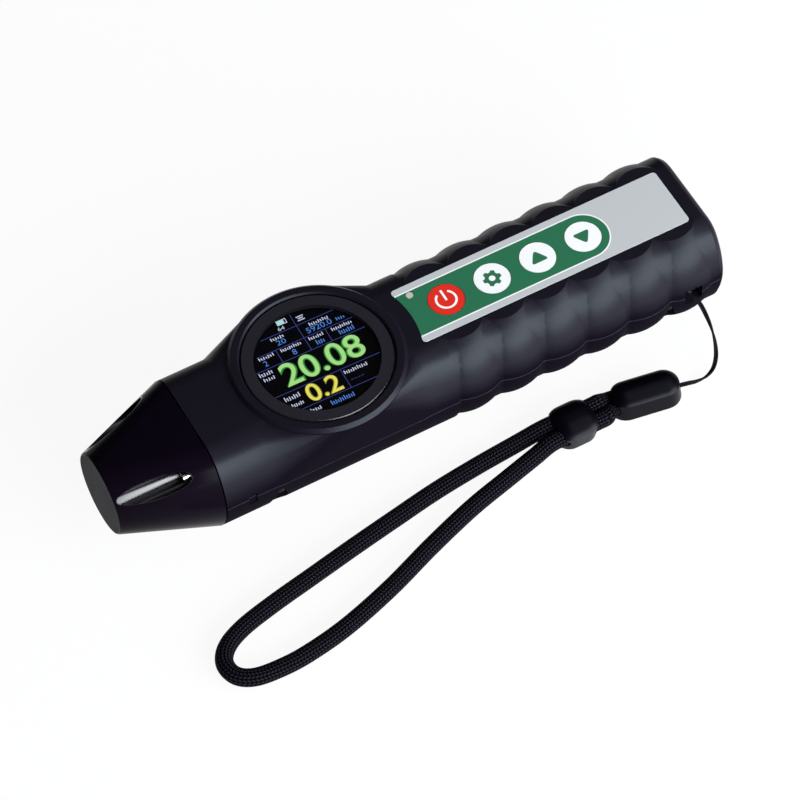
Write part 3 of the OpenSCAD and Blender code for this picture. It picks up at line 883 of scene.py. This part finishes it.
@dataclass(frozen=True)
class Braid(Finish):
    """Braided cord: columns of stitches whose slant turns from each column to the next, with a
    painted highlight on each stitch's crown.
    """

    columns: int
    stitch_mm: float = 0.92
    slant: float = 0.75
    dark: Colour = (0.0005, 0.0003, 0.0007)
    # Colour on the crowns of the stitches: a painted highlight.
    crown_highlight: Colour = (0.0170, 0.0145, 0.0225)
    highlight_from: float = 0.62
    highlight_rise: float = 0.33
    roughness: float = 0.55
    specular: float = 0.02
    fibre_mm: float = 0.10
    fibre_share: float = 0.15
    fibre_spread: float = 0.2
    depth_mm: float = 0.30

    def shader(self, bench: Bench) -> Wire:
        """Makes the shader.

        Args:
            bench: the material's tree.

        Returns:
            The shader.
        """
        along, turn_x, turn_y = (bench.read(name) for name in ("along", "turn_x", "turn_y"))
        column = turn_y.bearing(turn_x) * (self.columns / math.tau)
        across = column.part()
        side = (column.floor() * 0.5).part() * 4.0 - 1.0
        phase = along / (self.stitch_mm * MM) + side * (across - 0.5) * self.slant
        stitch = phase.part() * 2.0 - 1.0
        width = across * 2.0 - 1.0
        lift = ((1.0 - stitch * stitch) * (1.0 - width * width)).root()
        # Lighter colour where a stitch rises: painted highlight.
        painted_highlight = ((lift - self.highlight_from) / self.highlight_rise).most(0.0)
        fibre = bench.noise(self.fibre_mm, detail=3.0)
        height = lift * (1.0 - self.fibre_share) + fibre * self.fibre_share
        return bench.surface(
            Base_Color=bench.blend(painted_highlight * (0.5 + fibre), self.dark, self.crown_highlight),
            Roughness=fibre.about(self.roughness, self.fibre_spread),
            Specular_IOR_Level=self.specular,
            Normal=bench.bump(height, self.depth_mm),
        )


@dataclass(frozen=True)
class WhiteTable(Finish):
    """Matte white that keeps a shadow, and that the rays of a view see as plain white."""

    colour: Colour = (0.90, 0.90, 0.90)
    seen_white: float = 0.92

    def shader(self, bench: Bench) -> Wire:
        """Makes the shader.

        Args:
            bench: the material's tree.

        Returns:
            The shader.
        """
        path = bench.node("ShaderNodeLightPath").socket.node
        camera, glossy, through = (Wire(bench, path.outputs[ray.value]) for ray in Ray)
        matte = bench.node("ShaderNodeBsdfDiffuse", inputs={"Color": rgba(self.colour)})
        glow = bench.node("ShaderNodeEmission", inputs={"Color": rgba(WHITE)})
        seen = camera.most(glossy).most(through) * self.seen_white
        return bench.between(seen, matte, glow)


def mark_facing(mesh: bpy.types.Mesh) -> bpy.types.Mesh:
    """Keeps how far each corner of a mesh faces up, from -1 to 1, as an attribute.

    Args:
        mesh: the mesh.

    Returns:
        The same mesh.
    """
    layer = mesh.attributes.new(FACING, "FLOAT", "CORNER")
    layer.data.foreach_set("value", [corner.vector.z for corner in mesh.corner_normals])
    return mesh


def link_piece(
    name: str,
    mesh: bpy.types.Mesh,
    material: bpy.types.Material,
    body: str = ROOT,
    stands_for: Iterable[str] = (),
) -> bpy.types.Object:
    """Adds a finished mesh to the scene as a piece of the gauge.

    Args:
        name: the piece's name.
        mesh: its mesh, already in place.
        material: its finish.
        body: the body that it moves with.
        stands_for: nodes that it replaces.

    Returns:
        The new object.
    """
    mesh.materials.clear()
    mesh.materials.append(material)
    piece = add_object(name, mesh)
    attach(piece, body)
    nodes = tuple(stands_for)
    if nodes:
        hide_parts(*nodes)
    LOG.info("piece %s: %d faces", name, len(mesh.polygons))
    return piece


def dress(node: str, material: bpy.types.Material) -> None:
    """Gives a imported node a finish.

    Args:
        node: the node.
        material: its finish.
    """
    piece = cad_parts[node]
    if not piece.material_slots:
        piece.data.materials.append(material)
    for slot in piece.material_slots:
        slot.material = material
    LOG.info("node %s: %s", node, material.name)


def smooth_copy(node: str, angle_deg: float, merge_mm: float = 0.002) -> bpy.types.Mesh:
    """Copies a node's mesh with its triangles joined and its shallow edges shaded smooth.

    Args:
        node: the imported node.
        angle_deg: edges sharper than this stay crisp.
        merge_mm: distance within which points are joined.

    Returns:
        The new mesh.
    """
    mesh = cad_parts[node].data.copy()
    mesh.name = node + "_smooth"
    work = bmesh.new()
    work.from_mesh(mesh)
    bmesh.ops.remove_doubles(work, verts=work.verts, dist=merge_mm * MM)
    bmesh.ops.dissolve_degenerate(work, dist=merge_mm * MM, edges=work.edges)
    for face in work.faces:
        face.smooth = True
    for edge in work.edges:
        edge.smooth = edge.calc_face_angle(math.pi) < math.radians(angle_deg)
    work.to_mesh(mesh)
    work.free()
    return mesh


def catmull(points: Sequence[Sequence[float]], step_mm: float) -> list[Vector]:
    """Draws a smooth curve through points and walks it in even steps.

    Args:
        points: places in millimetres.
        step_mm: distance between the returned points.

    Returns:
        Points in metres, both ends included.
    """
    knots = [Vector(p) for p in points]
    padded = [2 * knots[0] - knots[1], *knots, 2 * knots[-1] - knots[-2]]
    fine: list[Vector] = []
    for a, b, c, d in zip(padded, padded[1:], padded[2:], padded[3:]):
        for k in range(SPAN_STEPS):
            t = k / SPAN_STEPS
            tangent_b, tangent_c = (c - a) / 2, (d - b) / 2
            fine.append(
                b * (2 * t**3 - 3 * t**2 + 1)
                + tangent_b * (t**3 - 2 * t**2 + t)
                + c * (3 * t**2 - 2 * t**3)
                + tangent_c * (t**3 - t**2)
            )
    fine.append(knots[-1])
    lengths = [0.0]
    for a, b in zip(fine, fine[1:]):
        lengths.append(lengths[-1] + (b - a).length)
    count = max(2, round(lengths[-1] / step_mm))
    walked: list[Vector] = []
    index = 0
    for k in range(count + 1):
        target = lengths[-1] * k / count
        while index < len(fine) - 2 and lengths[index + 1] < target:
            index += 1
        span = lengths[index + 1] - lengths[index]
        part = 0.0 if span == 0.0 else (target - lengths[index]) / span
        walked.append(fine[index].lerp(fine[index + 1], part) * MM)
    return walked


def path_length(path: Sequence[Vector]) -> float:
    """Length of a path, in metres."""
    return sum((b - a).length for a, b in zip(path, path[1:]))


def path_frames(path: Sequence[Vector]) -> list[tuple[Vector, Vector]]:
    """Gives each point of a path two directions across it, carried along without twist.

    Args:
        path: the points.

    Returns:
        A pair of unit vectors for each point.
    """
    frames: list[tuple[Vector, Vector]] = []
    side = Vector((0.0, 0.0, 1.0))
    for i, _ in enumerate(path):
        ahead = (path[min(i + 1, len(path) - 1)] - path[max(i - 1, 0)]).normalized()
        side = (side - ahead * side.dot(ahead)).normalized()
        frames.append((side.copy(), ahead.cross(side)))
    return frames


def bearing_vector(azimuth_deg: float, elevation_deg: float) -> Vector:
    """Gives the direction of a place round the gauge.

    Args:
        azimuth_deg: turn from the near side.
        elevation_deg: height above the table.

    Returns:
        A unit vector.
    """
    a, e = math.radians(azimuth_deg), math.radians(elevation_deg)
    return Vector((math.sin(a) * math.cos(e), -math.cos(a) * math.cos(e), math.sin(e)))


@dataclass
class PhotoCamera:
    """Camera at the photograph's place: angles in degrees, lengths in millimetres."""

    azimuth: float = -28.14
    elevation: float = 55.41
    roll: float = -1.12
    distance: float = 1156.0
    pixels_per_mm: float = 3.9756
    lens_pixel: tuple[float, float] = (317.4, 357.2)
    image_px: float = 800.0
    sensor_mm: float = 36.0
    clip_m: tuple[float, float] = (0.05, 50.0)

    def build(self, target: Vector) -> None:
        """Places the camera.

        Args:
            target: middle of the display's lens, in metres.
        """
        a, r = math.radians(self.azimuth), math.radians(self.roll)
        back = bearing_vector(self.azimuth, self.elevation)
        level = Vector((math.cos(a), math.sin(a), 0.0))
        upright = back.cross(level)
        right = level * math.cos(r) + upright * math.sin(r)
        up = upright * math.cos(r) - level * math.sin(r)
        half = self.image_px / 2
        across = (self.lens_pixel[0] - half) / self.pixels_per_mm
        above = (half - self.lens_pixel[1]) / self.pixels_per_mm
        place = target + (back * self.distance - right * across - up * above) * MM
        data = bpy.data.cameras.new("photo_camera")
        data.sensor_width = self.sensor_mm
        focal_px = self.pixels_per_mm * self.distance
        data.lens = focal_px * self.sensor_mm / self.image_px
        data.clip_start, data.clip_end = self.clip_m
        camera = add_object("photo_camera", data)
        turn = Matrix((right, up, back)).transposed().to_4x4()
        camera.matrix_world = Matrix.Translation(place) @ turn
        bpy.context.scene.camera = camera


@dataclass(frozen=True)
class Softbox:
    """Area lamp that faces the gauge: angles in degrees, lengths in metres."""

    name: str
    azimuth: float
    elevation: float
    distance: float
    size: tuple[float, float]
    power: float
    colour: Colour = WHITE

    def build(self, target: Vector) -> None:
        """Places the lamp.

        Args:
            target: the point that it faces.
        """
        back = bearing_vector(self.azimuth, self.elevation)
        data = bpy.data.lights.new(self.name, "AREA")
        data.shape = "RECTANGLE"
        data.size, data.size_y = self.size
        data.energy = self.power
        data.color = self.colour
        lamp = add_object(self.name, data)
        lamp.location = target + back * self.distance
        lamp.rotation_mode = "QUATERNION"
        lamp.rotation_quaternion = back.to_track_quat("Z", "Y")


@dataclass
class Studio:
    """White table in an even grey room, with a long low softbox in front and a soft one above."""

    floor_half: float = 1.6
    room: Colour = (0.08, 0.08, 0.085)
    room_to: float = 0.35
    ceiling: Colour = (0.05, 0.05, 0.055)
    ceiling_from: float = 0.7
    lit_point: tuple[float, float, float] = (0.0, 0.0, 0.02)
    lamps: tuple[Softbox, ...] = (
        Softbox(
            "front_strip", azimuth=24.0, elevation=21.0, distance=0.95, size=(1.45, 0.60),
            power=31.0, colour=(0.93, 0.98, 1.0),
        ),
        Softbox(
            "top_panel", azimuth=80.0, elevation=62.0, distance=1.1, size=(1.0, 0.8), power=3.0
        ),
    )

    def _floor(self) -> None:
        """Makes the table top."""
        mesh = bpy.data.meshes.new("table_top")
        h = self.floor_half
        corners = [(-h, -h, 0.0), (h, -h, 0.0), (h, h, 0.0), (-h, h, 0.0)]
        mesh.from_pydata(corners, [], [(0, 1, 2, 3)])
        mesh.materials.append(WhiteTable("white_table").build())
        floor = add_object("table_top", mesh)

    def _world(self) -> None:
        """Makes the grey room, a little darker overhead."""
        world = bpy.data.worlds.new("studio_room")
        world.use_nodes = True
        bench = Bench(world.node_tree)
        coords = bench.node("ShaderNodeTexCoord", output="Generated")
        split = bench.node("ShaderNodeSeparateXYZ", inputs={0: coords}).socket.node
        height = Wire(bench, split.outputs["Z"])
        stops = [
            (0.0, self.room),
            (self.room_to, self.room),
            (self.ceiling_from, self.ceiling),
            (1.0, self.ceiling),
        ]
        ramp = bench.node("ShaderNodeValToRGB", {"stops": stops}, {"Fac": height})
        back = bench.node("ShaderNodeBackground", inputs={"Color": ramp, "Strength": 1.0})
        bench.finish(back, "ShaderNodeOutputWorld")
        bpy.context.scene.world = world

    def build(self) -> None:
        """Makes the studio."""
        self._floor()
        self._world()
        for lamp in self.lamps:
            lamp.build(Vector(self.lit_point))


@dataclass
class WristStrap:
    """Braided loop, its slider and bead, and the doubled string to the bar; in millimetres."""

    cord_d: float = 4.7
    columns: int = 16
    ridge_rise: float = 0.07
    sides: int = 96
    squeeze: float = 0.74
    squeeze_from: float = 42.4
    squeeze_to: float = 45.2
    step: float = 0.45
    strand_d: float = 0.62
    strand_press: float = 0.95
    string_turns: float = 1.5
    string_sides: int = 12
    crisp_deg: float = 17.0
    cord_route: Route = (
        (48.95, -28.5, 2.6), (45.35, -27.9, 2.6), (42.4, -28.45, 3.5), (40, -28.6, 3.6),
        (33, -28.6, 3.6), (26, -28.5, 3.6), (18.5, -28.5, 2.5), (6, -29.5, 2.45),
        (-7, -31, 2.45), (-20, -33.2, 2.45), (-33, -35.5, 2.45), (-46, -38, 2.45),
        (-59, -40.5, 2.45), (-69, -43, 2.45), (-75, -46, 2.45), (-77.8, -50, 2.45),
        (-77, -54.5, 2.45), (-73, -57.2, 2.45), (-66, -58, 2.45), (-58, -57.6, 2.45),
        (-46, -55.4, 2.45), (-31, -50.8, 2.45), (-16, -45, 2.45), (-1.5, -40, 2.45),
        (11, -36.7, 2.45), (20, -34.5, 2.7), (26, -33.4, 3.6), (33, -33.4, 3.6),
        (40, -33.4, 3.6), (42.2, -33.25, 3.5), (44.7, -31.65, 2.6), (48.3, -32.25, 2.6),
    )
    string_route: Route = (
        (73.55, -15.7, 19.4), (73.55, -17.8, 19.4), (74.2, -19.6, 19.2), (75.2, -21.4, 18.7),
        (75.9, -23, 17.6), (76.4, -25.5, 15), (76.8, -27.8, 11.5), (76.8, -29.8, 7.6),
        (76.2, -31.4, 4.2), (74.6, -32.8, 1.9), (72, -33.7, 1.1), (69, -34, 1.5),
        (66.2, -33.85, 2.3), (63.8, -33.55, 2.6), (61.3, -33.15, 2.6),
    )

    def _girth(self, x_mm: float) -> float:
        """Scale of the cord, which is squeezed where it enters the bead."""
        part = (x_mm - self.squeeze_from) / (self.squeeze_to - self.squeeze_from)
        return 1.0 - (1.0 - self.squeeze) * min(1.0, max(0.0, part))

    def _cord(self, sweep: Growth) -> None:
        """Makes the braided loop.

        Args:
            sweep: the tree that draws it along its path.
        """
        path = catmull(self.cord_route, self.step)
        girths = [self._girth(point.x / MM) for point in path]
        finish = Braid("braid", self.columns).build()
        mesh = sweep.grow(
            path_mesh([path], [girths]),
            Radius=self.cord_d / 2 * MM,
            Sides=self.sides,
            Ridges=float(self.columns),
            Rise=self.ridge_rise * MM,
            Material=finish,
        )
        piece = link_piece("braided_loop", mesh, finish, ROOT, ["strap_cord"])
        path_length(path)

    def _string(self, sweep: Growth) -> None:
        """Makes the two strands of string, lightly twisted.

        Args:
            sweep: the tree that draws them along their paths.
        """
        path = catmull(self.string_route, self.step)
        frames = path_frames(path)
        radius = self.strand_d / 2 * MM
        strands = []
        for hand in (0.0, math.pi):
            lay = [hand + math.tau * self.string_turns * i / len(path) for i in range(len(path))]
            strands.append([
                point + (side * math.cos(a) + other * math.sin(a)) * radius * self.strand_press
                for point, (side, other), a in zip(path, frames, lay)
            ])
        fibre = (0.0040, 0.0032, 0.0052)
        finish = Moulded(
            "string_fibre", fibre, 0.6, grain_mm=0.15, grain_depth_mm=0.02, specular=0.05
        ).build()
        mesh = sweep.grow(
            path_mesh(strands, [[1.0] * len(path)] * 2),
            Radius=radius,
            Sides=self.string_sides,
            Ridges=1.0,
            Rise=0.0,
            Material=finish,
        )
        piece = link_piece("doubled_string", mesh, finish, ROOT, ["strap_string"])
        path_length(path)

    def build(self) -> None:
        """Makes the strap."""
        black, cool = (0.0012, 0.0006, 0.0020), (0.82, 0.86, 1.0)
        plastic = Moulded("strap_plastic", black, 0.34, specular=0.12, sheen=cool).build()
        for node, body in (("strap_bead", ROOT), ("strap_slider", "slider")):
            mesh = smooth_copy(node, self.crisp_deg)
            link_piece(node + "_shell", mesh, plastic, body, [node])
        sweep = sweep_tree()
        self._cord(sweep)
        self._string(sweep)


@dataclass
class Casing:
    """The two housings, the nose and their fasteners; in millimetres."""

    crisp_deg: float = 26.0
    axis_z: float = 19.0
    flute_start_x: float = -85.5
    flute_start_r: float = 14.174
    flute_tilt_deg: float = 3.08
    flute_r: float = 2.8
    flute_angles: tuple[float, ...] = (40.0, 140.0, 270.0)

    def build(self) -> None:
        """Dresses the casing."""
        seam_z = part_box("lower_housing")[1].z / MM
        black, grey, cool = (0.0060, 0.0044, 0.0094), (0.0140, 0.0140, 0.0190), (0.80, 0.93, 1.0)
        for half, roughness, specular in (("upper", 0.40, 0.158), ("lower", 0.45, 0.10)):
            node = half + "_housing"
            # With seam_z, the flanks get painted shade and a painted highlight line along the
            # seam.
            plastic = Moulded(
                half + "_plastic", black, roughness, specular=specular, sheen=cool, seam_z=seam_z
            )
            mesh = mark_facing(smooth_copy(node, self.crisp_deg))
            link_piece(node + "_shell", mesh, plastic.build(), ROOT, [node])
        nose = FlutedPlastic(
            "nose_plastic", (0.0028, 0.0015, 0.0042), roughness=0.26, specular=0.03,
            tip=(self.flute_start_x, self.axis_z), start_r=self.flute_start_r,
            tilt_deg=self.flute_tilt_deg, flute_r=self.flute_r, angles_deg=self.flute_angles,
        )
        mesh = smooth_copy("nose_cone", self.crisp_deg)
        link_piece("nose_shell", mesh, nose.build(), ROOT, ["nose_cone"])
        wear = Moulded("wear_plate", grey, 0.5, grain_mm=0.4, specular=0.028, sheen=cool)
        finishes = {
            wear: ["probe_face"],
            Metal("bright_steel", (0.50, 0.51, 0.52), 0.20): ["nose_screws"],
            Metal("black_steel", (0.012, 0.012, 0.013), 0.5): ["housing_screws"],
            Moulded("seal_rubber", (0.006, 0.006, 0.007), 0.7): ["nose_seal", "lens_gasket"],
            Metal("plain_steel", (0.58, 0.58, 0.59), 0.30): ["strap_bar", "charging_socket"],
        }
        for finish, nodes in finishes.items():
            material = finish.build()
            for node in nodes:
                dress(node, material)


@dataclass
class Keypad:
    """Printed film, its keys, the domes that they press and the status light."""

    crisp_deg: float = 30.0
    pressed_share: float = 0.5

    def build(self) -> None:
        """Dresses the keypad."""
        red, white = (0.72, 0.022, 0.012), (0.90, 0.90, 0.90)
        signs = {
            "key_power": (Sign.POWER, red, white),
            "key_menu": (Sign.GEAR, white, FIELD_GREEN),
            "key_up": (Sign.UP, white, FIELD_GREEN),
            "key_down": (Sign.DOWN, white, FIELD_GREEN),
        }
        centres = {node: sum(corner.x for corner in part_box(node)) / 2 / MM for node in signs}
        dress("keypad_overlay", KeypadPrint("keypad_film", centres["key_down"]).build())
        for node, (sign, disc, ink) in signs.items():
            dress(node, KeyPrint(node + "_print", centres[node], disc, ink, sign).build())
        milky = (0.50, 0.50, 0.44)
        speckled = {"grain_mm": 0.5, "grain_depth_mm": 0.02, "tint": 0.3}
        finishes = {
            "status_light": Moulded("milky_light", milky, 0.3, **speckled),
            "keypad_spacer": Moulded("spacer_film", (0.7, 0.7, 0.69), 0.5),
            "keypad_circuit": Moulded("circuit_film", (0.40, 0.16, 0.02), 0.4),
        }
        for node, finish in finishes.items():
            dress(node, finish.build())
        dome = Metal("dome_steel", (0.6, 0.6, 0.61), 0.25).build()
        for key in signs:
            node = key.replace("key_", "dome_")
            mesh = smooth_copy(node, self.crisp_deg)
            cap = link_piece(node + "_cap", mesh, dome, ROOT, [node])
            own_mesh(cap)


@dataclass
class Inside:
    """Pieces that the housings hide."""

    def build(self) -> None:
        """Dresses the hidden pieces."""
        finishes = {
            "transducer_disc": Moulded("ceramic", (0.55, 0.46, 0.30), 0.6),
            "damping_block": Moulded("resin", (0.06, 0.06, 0.06), 0.6),
            "transducer_sleeve": Metal("turned_sleeve", (0.65, 0.66, 0.68), 0.3),
            "probe_lead": Moulded("lead_jacket", (0.02, 0.02, 0.022), 0.5),
            "main_board": Moulded("board_green", (0.01, 0.09, 0.03), 0.35),
            "board_screws": Metal("board_screw_steel", (0.6, 0.6, 0.61), 0.3),
            "battery": Moulded("cell_wrap", (0.03, 0.10, 0.30), 0.35),
            "battery_pad": Moulded(
                "foam", (0.05, 0.05, 0.05), 0.9, grain_mm=0.6, grain_depth_mm=0.05
            ),
        }
        for node, finish in finishes.items():
            dress(node, finish.build())


class Ink(Enum):
    """Colours that the screen shows."""

    HALO = (0.035, 0.30, 0.05)
    GREEN = (0.42, 0.78, 0.26)
    AMBER = (0.30, 0.26, 0.02)
    YELLOW = (0.86, 0.80, 0.12)
    BLUE = (0.085, 0.24, 0.72)
    PALE = (0.62, 0.66, 0.88)
    LINE = (0.050, 0.060, 0.27)
    CYAN = (0.45, 0.78, 0.78)


@dataclass(frozen=True)
class Figure:
    """Number on the screen: text, left edge, foot, height and width in millimetres."""

    text: str
    left: float
    foot: float
    height: float
    width: float
    ink: Ink
    bold: float = 0.0


@dataclass(frozen=True)
class Stroke:
    """Straight bar on the screen, from one point to another, in millimetres."""

    start: tuple[float, float]
    end: tuple[float, float]
    width: float
    ink: Ink


@dataclass(frozen=True)
class Caption:
    """Row of plain ticks in a caption's place: ends, middle and height in millimetres."""

    left: float
    right: float
    middle: float
    height: float
    ink: Ink
    pitch: float = 0.62
    tick_w: float = 0.27
    heights: tuple[float, ...] = (1.0, 0.7, 0.8, 0.62, 0.9, 0.7)
    bar_w: float = 0.16
    bar_rise: float = 0.55

    def strokes(self) -> list[Stroke]:
        """Draws the ticks, and thin bars that join two of three to their neighbour.

        Returns:
            The ticks and bars.
        """
        count = max(2, round((self.right - self.left) / self.pitch))
        foot = self.middle - self.height / 2
        made = []
        for i in range(count):
            x = self.left + (self.right - self.left) * (i + 0.5) / count
            top = foot + self.height * self.heights[i % len(self.heights)]
            made.append(Stroke((x, foot), (x, top), self.tick_w, self.ink))
            if i % 3:
                bar = foot + self.height * self.bar_rise * (i % 2)
                made.append(Stroke((x - self.pitch / 2, bar), (x, bar), self.bar_w, self.ink))
        return made


@dataclass
class Screen:
    """Round display: figures, rules and bars that are lit behind the lens."""

    turn_deg: float = -1.15
    lift_mm: float = 0.03
    layer_mm: float = 0.01
    clear_r: float = 16.2
    figures: tuple[Figure, ...] = (
        Figure("20.08", -10.2, -4.0, 7.3, 22.7, Ink.HALO, 0.035),
        Figure("20.08", -10.1, -3.9, 7.1, 22.5, Ink.GREEN, 0.006),
        Figure("0.2", -7.2, -10.9, 5.6, 9.4, Ink.AMBER, 0.03),
        Figure("0.2", -7.1, -10.8, 5.4, 9.2, Ink.YELLOW, 0.004),
        Figure("20", -6.7, 8.7, 1.55, 2.5, Ink.BLUE),
        Figure("5920.0", 1.7, 8.5, 1.7, 7.0, Ink.BLUE),
        Figure("2", -12.4, 4.4, 1.7, 1.0, Ink.BLUE),
        Figure("8", -4.4, 4.3, 1.7, 1.1, Ink.BLUE),
        Figure("64", -4.5, 12.6, 1.1, 1.8, Ink.PALE),
    )
    rules: tuple[tuple[float, float, float, float], ...] = (
        (-10.0, 12.1, 10.6, 12.1), (-13.3, 7.8, 13.9, 7.8), (-15.5, 3.6, 15.3, 3.6),
        (-15.1, -5.2, 14.9, -5.2), (-11.4, -11.4, 11.4, -11.4), (0.2, 16.0, 0.2, 3.6),
        (-7.9, 7.8, -7.9, 3.6), (6.1, 7.8, 6.1, 3.6), (3.7, -5.2, 3.7, -11.4),
        (4.7, -9.3, 5.4, -9.3), (5.7, -9.3, 6.4, -9.3), (6.7, -9.3, 7.4, -9.3),
        (7.7, -9.3, 8.4, -9.3),
    )
    rule_w: float = 0.17
    captions: tuple[Caption, ...] = (
        Caption(-7.8, -3.9, 11.1, 1.0, Ink.PALE), Caption(3.0, 8.6, 10.9, 1.0, Ink.PALE),
        Caption(9.8, 12.4, 9.2, 1.0, Ink.BLUE), Caption(-13.2, -8.7, 7.1, 1.0, Ink.PALE),
        Caption(-7.0, -1.1, 7.0, 1.0, Ink.PALE), Caption(0.9, 5.2, 6.9, 1.0, Ink.PALE),
        Caption(7.3, 13.2, 6.8, 1.0, Ink.PALE), Caption(2.1, 4.6, 5.1, 1.5, Ink.BLUE),
        Caption(8.6, 13.0, 5.1, 1.5, Ink.BLUE), Caption(-15.3, -11.4, 2.6, 1.3, Ink.PALE),
        Caption(-14.9, -11.6, 0.8, 1.1, Ink.PALE), Caption(-13.0, -8.5, -6.9, 1.4, Ink.PALE),
        Caption(-12.2, -8.7, -9.4, 1.1, Ink.PALE), Caption(4.0, 10.7, -6.5, 1.1, Ink.PALE),
        Caption(-8.7, -5.5, -12.9, 1.1, Ink.PALE), Caption(-3.1, 3.6, -13.2, 1.4, Ink.BLUE),
    )
    symbols: tuple[Stroke, ...] = (
        Stroke((-4.0, 14.9), (-2.0, 14.9), 1.5, Ink.CYAN),
        Stroke((-2.0, 15.6), (-1.3, 15.6), 0.2, Ink.PALE),
        Stroke((-2.0, 14.2), (-1.3, 14.2), 0.2, Ink.PALE),
        Stroke((-1.4, 15.7), (-1.4, 14.1), 0.2, Ink.PALE),
        Stroke((1.2, 14.4), (3.2, 14.4), 0.3, Ink.PALE),
        Stroke((1.5, 13.8), (2.9, 13.8), 0.3, Ink.PALE),
        Stroke((1.2, 13.2), (3.2, 13.2), 0.3, Ink.PALE),
    )

    @property
    def strokes(self) -> list[Stroke]:
        """Rules, captions and symbols as straight bars.

        Returns:
            All the bars.
        """
        ruled = [Stroke((a, b), (c, d), self.rule_w, Ink.LINE) for a, b, c, d in self.rules]
        worded = [stroke for caption in self.captions for stroke in caption.strokes()]
        return [*ruled, *worded, *self.symbols]

    def _bars(
        self, ink: Ink, plates: Growth, material: bpy.types.Material
    ) -> bpy.types.Mesh | None:
        """Draws this ink's bars, as instances of one plate.

        Args:
            ink: the colour.
            plates: the tree that lays the plates.
            material: their finish.

        Returns:
            The mesh, or None where this ink has no bar.
        """
        chosen = [stroke for stroke in self.strokes if stroke.ink is ink]
        if not chosen:
            return None
        runs = [(Vector(stroke.start), Vector(stroke.end)) for stroke in chosen]
        mesh = bpy.data.meshes.new("bars")
        mesh.from_pydata([((a.x + b.x) / 2, (a.y + b.y) / 2, 0.0) for a, b in runs], [], [])
        sizes = [((b - a).length, bar.width, 1.0) for (a, b), bar in zip(runs, chosen)]
        size = mesh.attributes.new("size", "FLOAT_VECTOR", "POINT")
        size.data.foreach_set("vector", [side for row in sizes for side in row])
        turn = mesh.attributes.new("turn", "FLOAT", "POINT")
        turn.data.foreach_set("value", [math.atan2(b.y - a.y, b.x - a.x) for a, b in runs])
        return plates.grow(mesh, Side=1.0, Material=material)

    @staticmethod
    def _figure(figure: Figure) -> bpy.types.Mesh:
        """Draws a number with Blender's own font, fitted to its place.

        Args:
            figure: what to draw.

        Returns:
            A flat mesh in millimetres.
        """
        curve = bpy.data.curves.new("figure", "FONT")
        curve.body = figure.text
        curve.offset = figure.bold
        curve.resolution_u = FIGURE_STEPS
        holder = add_object("figure", curve)
        mesh = shown_mesh(holder)
        bpy.data.objects.remove(holder)
        xs = [v.co.x for v in mesh.vertices]
        ys = [v.co.y for v in mesh.vertices]
        wide = figure.width / (max(xs) - min(xs))
        tall = figure.height / (max(ys) - min(ys))
        for v in mesh.vertices:
            v.co.x = figure.left + (v.co.x - min(xs)) * wide
            v.co.y = figure.foot + (v.co.y - min(ys)) * tall
            v.co.z = 0.0
        return mesh

    def build(self, centre: Vector, seat_z: float) -> None:
        """Makes what the screen shows.

        Args:
            centre: middle of the display, in metres.
            seat_z: height of the screen's glass, in metres.
        """
        turn = Matrix.Rotation(math.radians(self.turn_deg), 4, "Z") @ Matrix.Scale(MM, 4)
        place = Matrix.Translation((centre.x, centre.y, seat_z + self.lift_mm * MM)) @ turn
        plates = plate_tree()
        for level, ink in enumerate(Ink):
            name = ink.name.lower()
            lit = Lamp("lit_" + name, ink.value).build()
            parts = [self._figure(figure) for figure in self.figures if figure.ink is ink]
            bars = self._bars(ink, plates, lit)
            if bars:
                parts.append(bars)
            work = bmesh.new()
            for part in parts:
                work.from_mesh(part)
            bmesh.ops.triangulate(work, faces=work.faces)
            mesh = bpy.data.meshes.new("screen_" + name)
            work.to_mesh(mesh)
            work.free()
            mesh.transform(Matrix.Translation((0.0, 0.0, level * self.layer_mm * MM)) @ place)
            link_piece("screen_" + name, mesh, lit)


@dataclass
class Display:
    """Cover lens and screen."""

    def build(self) -> None:
        """Dresses the display."""
        low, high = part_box("display_lens")
        centre = (low + high) / 2
        screen = Screen()
        dress("display_lens", CoverLens("cover_lens", centre.x / MM, screen.clear_r).build())
        panel = Moulded("dark_panel", (0.0012, 0.0012, 0.0018), 0.3, specular=0.05)
        dress("display_module", panel.build())
        screen.build(centre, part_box("display_module")[1].z)


def main() -> None:
    """Builds the camera, the strap and the rest of the gauge in order."""
    logging.basicConfig(level=logging.INFO, format="%(name)s: %(message)s")
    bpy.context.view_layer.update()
    low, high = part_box("display_lens")
    PhotoCamera().build(Vector(((low.x + high.x) / 2, (low.y + high.y) / 2, high.z)))
    WristStrap().build()
    Casing().build()
    Keypad().build()
    Display().build()
    Inside().build()
    Studio().build()
    bpy.context.scene.view_settings.view_transform = "Standard"


if __name__ == "__main__":
    main()
